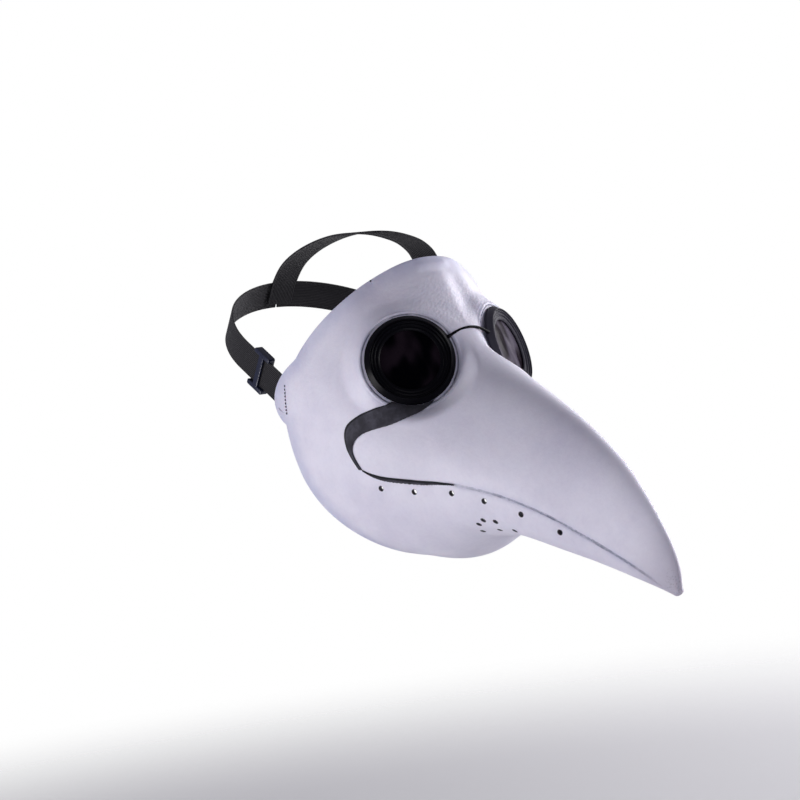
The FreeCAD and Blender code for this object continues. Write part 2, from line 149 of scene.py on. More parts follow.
class Paint(Nodes):
    """One material and the nodes that make its finish."""

    def __init__(self, name: str) -> None:
        """Starts a material with a plain shader.

        Args:
            name: The material's name.
        """
        self.material = bpy.data.materials.new(name)
        self.material.use_nodes = True
        super().__init__(self.material.node_tree)
        self.shader = self.tree.nodes["Principled BSDF"]
        self.place = self.node("ShaderNodeTexCoord", {}, {}, "Object")

    def measure(self, name: str) -> Sock:
        """A number stored on the mesh under a name."""
        return self.node("ShaderNodeAttribute", {"attribute_name": name}, {}, "Fac")

    def noise(self, scale: float, detail: float = 3.0, rough: float = 0.55,
              where: "Sock | None" = None) -> Sock:
        """Cloudy noise from 0 to 1.

        Args:
            scale: Patches per metre.
            detail: Levels of finer noise.
            rough: Strength of the finer levels.
            where: Coordinates, the piece's own place if left out.

        Returns:
            The noise value.
        """
        values = {"Vector": where or self.place, "Scale": scale, "Detail": detail,
                  "Roughness": rough}
        return self.node("ShaderNodeTexNoise", {}, values)

    def cells(self, scale: float, where: "Sock | None" = None) -> Sock:
        """Distance to the nearest of many scattered points."""
        values = {"Vector": where or self.place, "Scale": scale}
        return self.node("ShaderNodeTexVoronoi", {}, values)

    def from_goggle(self) -> Sock:
        """Millimetres from the nearer goggle's axis."""
        centre, normal = FORM.eye_axis(1)
        folded = self.node("ShaderNodeVectorMath", {"operation": "ABSOLUTE"}, {0: self.place})
        right = self.vector("MULTIPLY", folded, (1, 0, 0))
        rest = self.vector("MULTIPLY", self.place, (0, 1, 1))
        offset = self.vector("SUBTRACT", self.vector("ADD", right, rest), Vector(centre) * MM)
        across = self.vector("CROSS_PRODUCT", offset, Vector(normal))
        return self.vector("LENGTH", across, (0, 0, 0), "Value") * PER_METRE

    def stretched(self, factors: tuple, turn: tuple = (0, 0, 0)) -> Sock:
        """The piece's place, turned and then scaled along each axis."""
        turned = self.node("ShaderNodeMapping", {}, {"Vector": self.place, "Rotation": turn})
        return self.node("ShaderNodeMapping", {}, {"Vector": turned, "Scale": factors})

    def woven(self) -> tuple:
        """Two Socks: millimetres along a ribbon, and millimetres across it."""
        uv = self.node("ShaderNodeUVMap", {"uv_map": "Weave"}, {})
        values = {"Vector": uv}
        along = self.node("ShaderNodeSeparateXYZ", {}, values, "X")
        across = self.node("ShaderNodeSeparateXYZ", {}, values, "Y")
        return along * PER_METRE, across * PER_METRE

    def blend(self, factor: object, first: object, second: object) -> Sock:
        """A colour between two colours."""
        return self.node("ShaderNodeMix", {"data_type": "RGBA"}, {0: factor, 6: first, 7: second}, 2)

    def bump(self, height: Sock, depth: float) -> Sock:
        """A normal from a height, depth metres deep."""
        return self.node("ShaderNodeBump", {}, {"Height": height, "Distance": depth, "Strength": 1.0})

    def finish(self, **sockets: object) -> bpy.types.Material:
        """Feeds the shader's sockets.

        Args:
            **sockets: Socket name, with _ for a space, to a value.

        Returns:
            The material.
        """
        for name, value in sockets.items():
            self.feed(self.shader.inputs[name.replace("_", " ")], value)
        return self.material


# ------------------------------------------------------------------ finishes
@dataclass(frozen=True)
class Latex:
    """Matte moulded latex, darker and bluer near its rim and goggles, with a few painted lines; the goggle
    grooves, the tab crease, the vent walls and the inside are painted dark as painted shade.
    """

    light: tuple = (0.738, 0.722, 0.825, 1)
    dull: tuple = (0.578, 0.556, 0.685, 1)
    blue_grey_tone: tuple = (0.36, 0.38, 0.56, 1)
    tip_darkening: tuple = (0.33, 0.30, 0.37, 1)
    line: tuple = (0.060, 0.075, 0.135, 1)
    pits_and_vent_shade: tuple = (0.045, 0.045, 0.06, 1)
    inside_shade: tuple = (0.16, 0.155, 0.16, 1)

    def make(self) -> bpy.types.Material:
        """Builds the material."""
        p = Paint("moulded_latex")
        cloud = p.noise(14, 4)
        smear = p.noise(60, 5, 0.65)
        grit = p.noise(420, 4, 0.6)
        rim = p.measure("rim_mm")
        eye = p.from_goggle()
        side = p.measure("groove_mm")
        groove = side.most(0 - side)
        at = p.measure("groove_at")
        vent = p.measure("vent_mm")
        tip = p.measure("tip_mm")
        tab = p.measure("tab_mm")
        inside = p.measure("inside")
        mottle = cloud.step(0.35, 0.75) * 0.55 + smear.step(0.35, 0.7) * 0.22 + grit.step(0.4, 0.7) * 0.12
        colour = p.blend(mottle, self.light, self.dull)
        # The latex is painted darker and bluer within 15 mm of the rim.
        edge = rim.step(15, 0) * (0.25 + smear * 0.9)
        colour = p.blend(edge * 0.7, colour, self.blue_grey_tone)
        front = p.measure("eye_near")
        # It is also painted darker and bluer 30 to 37 mm from each goggle's axis.
        halo = eye.step(37, 30) * smear.step(0.25, 0.8) * front
        colour = p.blend(halo * 0.38, colour, self.blue_grey_tone)
        # A dark line in the moulded groove round each goggle is painted shade.
        ring = eye.step(29.9, 30.2) * eye.step(31.0, 30.6) * front
        colour = p.blend(ring * smear.step(0.3, 0.6) * 0.75, colour, self.line)
        wander = groove + (smear - 0.5) * 1.1 + (grit - 0.5) * 1.2
        fade = at.step(0.0, 0.05) * at.step(1.0, 0.8)
        stroke = wander.step(1.15, 0.6) * fade * (0.5 + at.step(0.05, 0.3) * 0.5)
        worn = p.noise(170, 4, 0.7).step(0.36, 0.56)
        colour = p.blend(stroke * (0.34 + worn * 0.36), colour, self.line)
        wash = groove.step(4.5, 0.4) * fade * smear.step(0.2, 0.8)
        colour = p.blend(wash * 0.42, colour, self.blue_grey_tone)
        # The vent walls are painted near-black as painted shade; the same colour also marks real pits at
        # the tip.
        colour = p.blend(vent.step(2.1, 1.8), colour, self.pits_and_vent_shade)
        # The seam across the temple tab and the crease curving round it are painted dark; the crease line
        # is painted shade.
        seam = tab.step(0.9, 0.4) * smear.step(0.15, 0.45)
        colour = p.blend(seam * 0.75, colour, self.line)
        speck = p.cells(900).step(0.42, 0.2) * tip.step(16, 3) * smear.step(0.42, 0.6)
        colour = p.blend(speck * 0.8, colour, self.pits_and_vent_shade)
        # The latex is painted darker towards the beak's tip.
        colour = p.blend(tip.step(48, 4) * 0.55, colour, self.tip_darkening)
        # The inner surface is painted dark grey as painted shade, so the vents look dark.
        colour = p.blend(inside, colour, p.blend(cloud.step(0.3, 0.8) * 0.3, self.inside_shade, self.dull))
        brow = p.measure("brow")
        creases = p.cells(330, p.stretched((1.0, 0.55, 1.9), (0.3, 0.5, 0.2)))
        fine = p.noise(900, 2, 0.5)
        lip = eye.step(30.6, 31.4) * eye.step(33.4, 32.0) * front - ring
        height = creases * brow * 1.0 + fine * 0.14 + grit * 0.42 + smear * 0.7 + lip * 1.6
        normal = p.bump(height, 0.00022)
        rough = 0.46 + smear * 0.12 + inside * 0.2
        return p.finish(Base_Color=colour, Roughness=rough, Normal=normal, Specular_IOR_Level=0.45,
                        Subsurface_Weight=0.06, Subsurface_Scale=0.002)


@dataclass(frozen=True)
class BlackGloss:
    """Glossy black moulded plastic with dust and fine rubs."""

    name: str = "black_gloss_plastic"
    base: tuple = (0.0022, 0.0021, 0.0036, 1)
    dusty: tuple = (0.012, 0.011, 0.017, 1)
    rough: float = 0.24

    def make(self) -> bpy.types.Material:
        """Builds the material."""
        p = Paint(self.name)
        dust = p.noise(700, 5, 0.7).step(0.58, 0.8)
        rubs = p.noise(240, 4, 0.6)
        colour = p.blend(dust * 0.6, self.base, self.dusty)
        rough = self.rough + rubs * 0.14 + dust * 0.25
        normal = p.bump(rubs + p.noise(90, 2) * 2.0, 0.00004)
        return p.finish(Base_Color=colour, Roughness=rough, Normal=normal, Specular_IOR_Level=0.06)


@dataclass(frozen=True)
class SmokedLens:
    """Dark plastic film, a little wavy, whose waves are painted a lighter violet-brown as a painted
    reflection.
    """

    name: str = "smoked_film_lens"
    deep: tuple = (0.0008, 0.0008, 0.0016, 1)
    wave_reflection: tuple = (0.012, 0.008, 0.012, 1)

    def make(self) -> bpy.types.Material:
        """Builds the material."""
        p = Paint(self.name)
        waves = p.noise(75, 1.5, 0.45, p.stretched((1.0, 1.0, 0.5), (0, 0.35, 0.3)))
        # The waves are painted lighter as a painted reflection.
        colour = p.blend(waves.step(0.38, 0.62), self.deep, self.wave_reflection)
        smudge = p.noise(160, 4, 0.6)
        rough = 0.17 + smudge.step(0.5, 0.8) * 0.16
        normal = p.bump(waves, 0.0024)
        return p.finish(Base_Color=colour, Roughness=rough, Normal=normal, Specular_IOR_Level=0.003)


@dataclass(frozen=True)
class Flock:
    """Charcoal flocked trim with a darker outline, and painted shade over each strip's first 20 mm, where
    the cheek band meets the goggle rim.
    """

    nap: tuple = (0.024, 0.023, 0.032, 1)
    worn: tuple = (0.062, 0.060, 0.080, 1)
    outline: tuple = (0.003, 0.003, 0.006, 1)

    def make(self) -> bpy.types.Material:
        """Builds the material."""
        p = Paint("charcoal_flock")
        along, across = p.woven()
        patch = p.noise(130, 4, 0.6)
        fuzz = p.noise(2600, 2, 0.6)
        colour = p.blend(patch.step(0.35, 0.7), self.nap, self.worn)
        # Painted shade: the first 20 mm of each strip is darkened to near-black.
        colour = p.blend(along.step(20, 5) * 0.8, colour, self.outline)
        edge = (across + (patch - 0.5) * 0.8).step(1.9, 1.1)
        colour = p.blend(edge * 0.92, colour, self.outline)
        normal = p.bump(fuzz + patch * 1.5, 0.00016)
        return p.finish(Base_Color=colour, Roughness=0.78 + fuzz * 0.15, Normal=normal,
                        Sheen_Weight=0.25, Sheen_Roughness=0.5, Specular_IOR_Level=0.3)


@dataclass(frozen=True)
class Elastic:
    """Ribbed woven elastic."""

    yarn: tuple = (0.004, 0.0037, 0.0055, 1)
    lit: tuple = (0.014, 0.013, 0.018, 1)

    def make(self) -> bpy.types.Material:
        """Builds the material."""
        p = Paint("ribbed_elastic")
        along, across = p.woven()
        rib = across.wave(1.25) * 0.5 + 0.5
        pick = along.wave(0.62) * 0.5 + 0.5
        weave = rib * 0.75 + pick * rib * 0.45
        fuzz = p.noise(1500, 3, 0.6)
        colour = p.blend(weave * (0.35 + fuzz * 0.6), self.yarn, self.lit)
        normal = p.bump(weave + fuzz * 0.4, 0.00022)
        return p.finish(Base_Color=colour, Roughness=0.72 + fuzz * 0.2, Normal=normal,
                        Sheen_Weight=0.2, Sheen_Roughness=0.45, Specular_IOR_Level=0.25)


@dataclass(frozen=True)
class Cotton:
    """Plain-woven backing cloth, glued down."""

    warp: tuple = (0.47, 0.46, 0.50, 1)
    gap: tuple = (0.25, 0.24, 0.27, 1)

    def make(self) -> bpy.types.Material:
        """Builds the material."""
        p = Paint("backing_cotton")
        along, across = p.woven()
        cross = along.wave(1.1) * across.wave(1.1)
        thread = cross * 0.5 + 0.5
        stain = p.noise(70, 4)
        colour = p.blend(thread.step(0.15, 0.6), self.gap, self.warp)
        colour = p.blend(stain.step(0.5, 0.8) * 0.4, colour, self.gap)
        normal = p.bump(thread + stain, 0.00020)
        return p.finish(Base_Color=colour, Roughness=0.85 + stain * 0.1, Normal=normal,
                        Sheen_Weight=0.2)


@dataclass(frozen=True)
class Thread:
    """Twisted polyester thread."""

    name: str = "grey_thread"
    dark: tuple = (0.040, 0.044, 0.065, 1)
    light: tuple = (0.115, 0.12, 0.16, 1)

    def make(self) -> bpy.types.Material:
        """Builds the material."""
        p = Paint(self.name)
        ply = p.noise(1800, 3, 0.6, p.stretched((1, 1, 3), (0.8, 0.0, 0.0)))
        colour = p.blend(ply.step(0.35, 0.65), self.dark, self.light)
        return p.finish(Base_Color=colour, Roughness=0.6 + ply * 0.2, Normal=p.bump(ply, 0.00012),
                        Sheen_Weight=0.2)


@dataclass(frozen=True)
class BluePlastic:
    """Dark blue glossy plastic of the sliders."""

    base: tuple = (0.006, 0.009, 0.030, 1)
    worn: tuple = (0.02, 0.026, 0.06, 1)

    def make(self) -> bpy.types.Material:
        """Builds the material."""
        p = Paint("slider_blue_plastic")
        rubs = p.noise(380, 4, 0.6, p.stretched((1, 5, 1), (0.3, 0.7, 0.1)))
        colour = p.blend(rubs.step(0.5, 0.8), self.base, self.worn)
        return p.finish(Base_Color=colour, Roughness=0.2 + rubs * 0.18, Normal=p.bump(rubs, 0.00004),
                        Coat_Weight=0.3, Coat_Roughness=0.1)


# ------------------------------------------------------------------ shape maths
def ramp(value: np.ndarray, low: float, high: float) -> np.ndarray:
    """Smooth 0 to 1 between two values; with low above high it falls."""
    t = np.clip((value - low) / (high - low), 0, 1)
    return t * t * (3 - 2 * t)


def bell(value: np.ndarray, centre: float, width: float) -> np.ndarray:
    """1 at the centre, falling smoothly to 0 on both sides."""
    return np.exp(-((value - centre) / width) ** 2)


def fold(points: np.ndarray) -> np.ndarray:
    """Points with their x made positive, so that both halves share one."""
    return np.abs(points) * (1, 0, 0) + points * (0, 1, 1)


# ------------------------------------------------------------------ the mask's form
@dataclass(frozen=True)
class Form:
    """The outer surface of the mask, by station from rim to tip and angle from the top.

    Lengths are millimetres. Each section is an oval through the top midline point (y, z), the
    widest point (x, y, z) and the bottom midline point (y, z), then how much its upper part is
    pinched, its lower part squared, and its side view skewed and bowed.
    """

    sections: tuple = (
        ((-73, 65), (78.5, -8, -24), (-58, -128), -.10, .28, -18, 6),
        ((-82.5, 47), (77.5, -27, -30), (-77, -130.5), -.06, .25, -15, 3),
        ((-92, 30), (76, -44, -37), (-94, -127.5), -.02, .22, -14, 0),
        ((-102, 16.4), (71, -64, -45), (-109, -121.5), .02, .18, -10, -4),
        ((-116, 1), (63.5, -84, -53), (-124, -118), .12, .16, -6, -4),
        ((-134.5, -11.5), (54.5, -105, -61), (-139, -117), .18, .14, -3, -2),
        ((-156.5, -23.4), (46, -128, -70), (-154, -118.5), .22, .12, 0, 0),
        ((-181.5, -38), (37.5, -152, -80), (-171, -123.5), .22, .10, 0, 0),
        ((-206, -54.5), (29.5, -176, -92), (-190, -130), .18, .08, 0, 0),
        ((-230, -75), (22, -198, -105), (-209, -136), .10, .06, 0, 0),
        ((-248, -97), (15.5, -218, -118), (-227, -142.5), .06, .04, 0, 0),
        ((-261, -118), (10.5, -236, -131), (-243, -148.5), .03, .02, 0, 0),
        ((-268.5, -138), (6.5, -251, -143), (-255, -153), 0, 0, 0, 0),
        ((-269, -152), (3, -265.75, -154.1), (-262.5, -156.2), 0, 0, 0, 0))
    temple: tuple = (75.0, 37.0, 9.5, 2.4)
    tab: tuple = (81.5, 12.5, 12.0, 0.8)
    eye: tuple = (39.5, -90.0, 0.0)
    splay: float = math.radians(30)
    tilt: float = math.radians(14)
    seat: float = 29.6
    seat_blend: float = 43.0
    seat_depth: float = 40.0

    @property
    def last(self) -> int:
        """The station of the beak's tip."""
        return len(self.sections) - 1

    @property
    def table(self) -> np.ndarray:
        """The sections as rows of eleven numbers."""
        return np.array([list(t) + list(m) + list(b) + list(rest)
                         for t, m, b, *rest in self.sections], float)

    def eye_axis(self, side: int) -> tuple:
        """A goggle's centre and outward direction, in millimetres."""
        flat = math.cos(self.tilt)
        normal = np.array([side * math.sin(self.splay) * flat, -math.cos(self.splay) * flat,
                           math.sin(self.tilt)])
        return np.array([side * self.eye[0], self.eye[1], self.eye[2]]), normal

    def from_eye(self, points: np.ndarray) -> tuple:
        """Height over the left goggle's plane and distance from its axis, for folded points."""
        centre, normal = self.eye_axis(1)
        offset = points - centre
        height = offset @ normal
        return height, np.sqrt(np.maximum((offset ** 2).sum(-1) - height ** 2, 0))

    def section(self, station: np.ndarray) -> np.ndarray:
        """Section values at any station, on natural cubics through the table."""
        table = self.table
        count = len(table)
        system = np.eye(count)
        bends = np.zeros_like(table)
        for i in range(1, count - 1):
            system[i, i - 1:i + 2] = (1, 4, 1)
            bends[i] = 6 * (table[i - 1] - 2 * table[i] + table[i + 1])
        bends = np.linalg.solve(system, bends)
        index = np.clip(station.astype(int), 0, self.last - 1)
        h = (station - index)[..., None]
        g = 1 - h
        line = table[index] * g + table[index + 1] * h
        return line + ((g ** 3 - g) * bends[index] + (h ** 3 - h) * bends[index + 1]) / 6

    @staticmethod
    def reach(turn: np.ndarray, station: np.ndarray, shape: tuple, power: float) -> np.ndarray:
        """How far the rim runs back locally."""
        centre, half_width, height, fade = shape
        off = np.clip(1 - ((turn - centre) / half_width) ** 2, 0, 1)
        return height * off ** power * np.clip(1 - station / fade, 0, 1) ** 2

    def point(self, station: np.ndarray, angle: np.ndarray) -> np.ndarray:
        """Points on the surface.

        Args:
            station: 0 at the rim to last at the tip.
            angle: Degrees from the top midline, positive to the wearer's left.

        Returns:
            An array of x, y, z in millimetres.
        """
        station, angle = np.broadcast_arrays(np.asarray(station, float), np.asarray(angle, float))
        ty, tz, w, my, mz, by, bz, pinch, square, skew, bow = np.moveaxis(self.section(station), -1, 0)
        phi = np.radians(angle)
        c = np.cos(phi)
        high, low = np.maximum(c, 0), np.maximum(-c, 0)
        x = w * np.sin(phi) * (1 - pinch * high ** 2 + square * low ** 2)
        y = my + (ty - by) / 2 * c + ((ty + by) / 2 - my) * c * c
        y = y + skew * (c - c ** 3) + bow * (c * c - c ** 4)
        z = mz + (tz - bz) / 2 * c + ((tz + bz) / 2 - mz) * c * c
        turn = np.abs((angle + 180) % 360 - 180)
        y = y + self.reach(turn, station, self.temple, 2.0) + self.reach(turn, station, self.tab, 0.8)
        placed = np.stack([np.abs(x), y, z], -1)
        height, radius = self.from_eye(placed)
        weight = np.where(np.abs(height) < self.seat_depth, ramp(radius, self.seat_blend, self.seat), 0)
        placed = placed - self.eye_axis(1)[1] * (weight * height)[..., None]
        placed[..., 0] *= np.where(x >= 0, 1.0, -1.0)
        return placed

    def normal(self, station: np.ndarray, angle: np.ndarray) -> np.ndarray:
        """Unit normals pointing out of the mask."""
        station = np.asarray(station, float)
        before = np.maximum(station - 0.02, 0)
        after = np.minimum(station + 0.02, self.last)
        along = self.point(after, angle) - self.point(before, angle)
        around = self.point(station, np.asarray(angle) + 0.5) - self.point(station, np.asarray(angle) - 0.5)
        normal = np.cross(along, around)
        return normal / np.linalg.norm(normal, axis=-1, keepdims=True)

    def lifted(self, station: np.ndarray, angle: np.ndarray, height: object) -> np.ndarray:
        """Points at a height off the surface."""
        lift = np.asarray(height, float)
        return self.point(station, angle) + self.normal(station, angle) * lift[..., None]


FORM = Form()


# ------------------------------------------------------------------ mesh helpers
def deselect() -> None:
    """Leaves nothing selected."""
    if bpy.context.object and bpy.context.object.mode != "OBJECT":
        bpy.ops.object.mode_set(mode="OBJECT")
    bpy.ops.object.select_all(action="DESELECT")


def pick(piece: bpy.types.Object) -> None:
    """Makes one object the selected and active one."""
    deselect()
    piece.select_set(True)
    bpy.context.view_layer.objects.active = piece


def new_piece(name: str, points: list, edges: list, faces: list) -> bpy.types.Object:
    """An object from vertices, in metres."""
    mesh = bpy.data.meshes.new(name)
    mesh.from_pydata([tuple(p) for p in points], edges, faces)
    mesh.update()
    piece = bpy.data.objects.new(name, mesh)
    bpy.context.scene.collection.objects.link(piece)
    return piece


def tidy_mesh(piece: bpy.types.Object, merge: float = MERGE) -> None:
    """Merges doubles and turns all faces outwards."""
    pick(piece)
    bpy.ops.object.mode_set(mode="EDIT")
    bpy.ops.mesh.select_all(action="SELECT")
    bpy.ops.mesh.remove_doubles(threshold=merge)
    bpy.ops.mesh.normals_make_consistent(inside=False)
    bpy.ops.object.mode_set(mode="OBJECT")


def apply_all(piece: bpy.types.Object) -> None:
    """Applies every modifier of a piece."""
    pick(piece)
    for modifier in list(piece.modifiers):
        bpy.ops.object.modifier_apply(modifier=modifier.name)


def bevel(piece: bpy.types.Object, width: float, segments: int = 2, angle: float = 35) -> None:
    """Rounds the sharp edges of a piece."""
    modifier = piece.modifiers.new("soft_edges", "BEVEL")
    modifier.width = width
    modifier.segments = segments
    modifier.angle_limit = math.radians(angle)
    apply_all(piece)


def smooth(piece: bpy.types.Object, angle: float, merge: float = 0.0) -> None:
    """Shades a piece smooth, except at edges sharper than angle degrees, and tidies it first if asked."""
    if merge:
        tidy_mesh(piece, merge)
    pick(piece)
    bpy.ops.object.shade_smooth_by_angle(angle=math.radians(angle))


def dress(piece: bpy.types.Object, material: bpy.types.Material, slot: str, body: str,
          *nodes: str) -> bpy.types.Object:
    """Gives a piece its material, its body and the nodes it stands for."""
    piece.data.materials.clear()
    piece.data.materials.append(material)
    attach(piece, body)
    if nodes:
        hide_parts(*nodes)
    log.info("%s: %d faces on %s", piece.name, len(piece.data.polygons), body)
    return piece


def lathe(name: str, outline: list, centre: np.ndarray, normal: np.ndarray,
          steps: int = 112) -> bpy.types.Object:
    """Spins a closed outline of (radius, height) millimetres about an axis."""
    axis = Vector(normal)
    across = axis.orthogonal().normalized()
    points = [Vector(centre) + across * r + axis * h for r, h in outline]
    count = len(outline)
    edges = [(i, (i + 1) % count) for i in range(count)]
    piece = new_piece(name, [p * MM for p in points], edges, [])
    pick(piece)
    bpy.ops.object.mode_set(mode="EDIT")
    bpy.ops.mesh.select_all(action="SELECT")
    bpy.ops.mesh.spin(steps=steps, angle=2 * math.pi, center=Vector(centre) * MM, axis=axis)
    bpy.ops.object.mode_set(mode="OBJECT")
    tidy_mesh(piece, 2e-6)
    return piece


def rounded(corners: list, radius: float, segments: int = 3) -> list:
    """A closed outline with each corner rounded to about the given radius."""
    count = len(corners)
    result = []
    for i, corner in enumerate(corners):
        here = Vector(corner)
        back = Vector(corners[i - 1]) - here
        ahead = Vector(corners[(i + 1) % count]) - here
        size = min(radius, 0.45 * back.length, 0.45 * ahead.length)
        first = here + back.normalized() * size
        last = here + ahead.normalized() * size
        for k in range(segments + 1):
            t = k / segments
            result.append(tuple(first * (1 - t) ** 2 + here * (2 * t * (1 - t)) + last * t * t))
    return result


def tube_faces(base: int, rings: int, around: int) -> list:
    """Faces of a capped tube whose vertices start at base."""
    faces = []
    for i in range(rings - 1):
        a, b = base + i * around, base + (i + 1) * around
        for j in range(around):
            k = (j + 1) % around
            faces.append((a + j, a + k, b + k, b + j))
    last = base + (rings - 1) * around
    faces.append(tuple(range(base + around - 1, base - 1, -1)))
    faces.append(tuple(range(last, last + around)))
    return faces


def closed_strip(name: str, rings: list) -> bpy.types.Object:
    """A skin over a row of closed rings, with both ends capped."""
    points = [p for ring in rings for p in ring]
    return new_piece(name, points, [], tube_faces(0, len(rings), len(rings[0])))


def weave_map(piece: bpy.types.Object, spots: list) -> None:
    """Writes each vertex's metres along and across the cloth into the Weave map."""
    layer = piece.data.uv_layers.new(name="Weave")
    for loop in piece.data.loops:
        layer.data[loop.index].uv = spots[loop.vertex_index]


def strip_spots(along: list, across: list) -> list:
    """Weave places of a strip from the metres along of each ring and across of each vertex."""
    return [(far, wide) for far, row in zip(along, across) for wide in row]


def drill(centre: np.ndarray, normal: np.ndarray, radius: float, length: float,
          sides: int) -> bpy.types.Object:
    """A cylinder to cut with, in millimetres along a normal."""
    deselect()
    turn = Vector(normal).to_track_quat("Z", "Y").to_euler()
    bpy.ops.mesh.primitive_cylinder_add(vertices=sides, radius=radius * MM, depth=length * MM,
                                        location=Vector(centre) * MM, rotation=turn)
    return bpy.context.object


def cut(piece: bpy.types.Object, cutter: bpy.types.Object) -> None:
    """Cuts one object out of another and removes it."""
    modifier = piece.modifiers.new("cut", "BOOLEAN")
    modifier.operation = "DIFFERENCE"
    modifier.solver = "EXACT"
    modifier.object = cutter
    apply_all(piece)
    bpy.data.objects.remove(cutter)


def store(piece: bpy.types.Object, name: str, values: np.ndarray) -> None:
    """Keeps one number for each vertex under a name."""
    attribute = piece.data.attributes.new(name, "FLOAT", "POINT")
    attribute.data.foreach_set("value", np.asarray(values, np.float32))


def positions(piece: bpy.types.Object) -> np.ndarray:
    """The vertices of a piece in millimetres."""
    flat = np.zeros(len(piece.data.vertices) * 3)
    piece.data.vertices.foreach_get("co", flat)
    return flat.reshape(-1, 3) / MM


def nearest(points: np.ndarray, targets: np.ndarray) -> tuple:
    """Distance and index of the nearest target to each point."""
    tree = KDTree(len(targets))
    for i, target in enumerate(targets):
        tree.insert(target, i)
    tree.balance()
    found = [tree.find(p) for p in points]
    return np.array([f[2] for f in found]), np.array([f[1] for f in found])


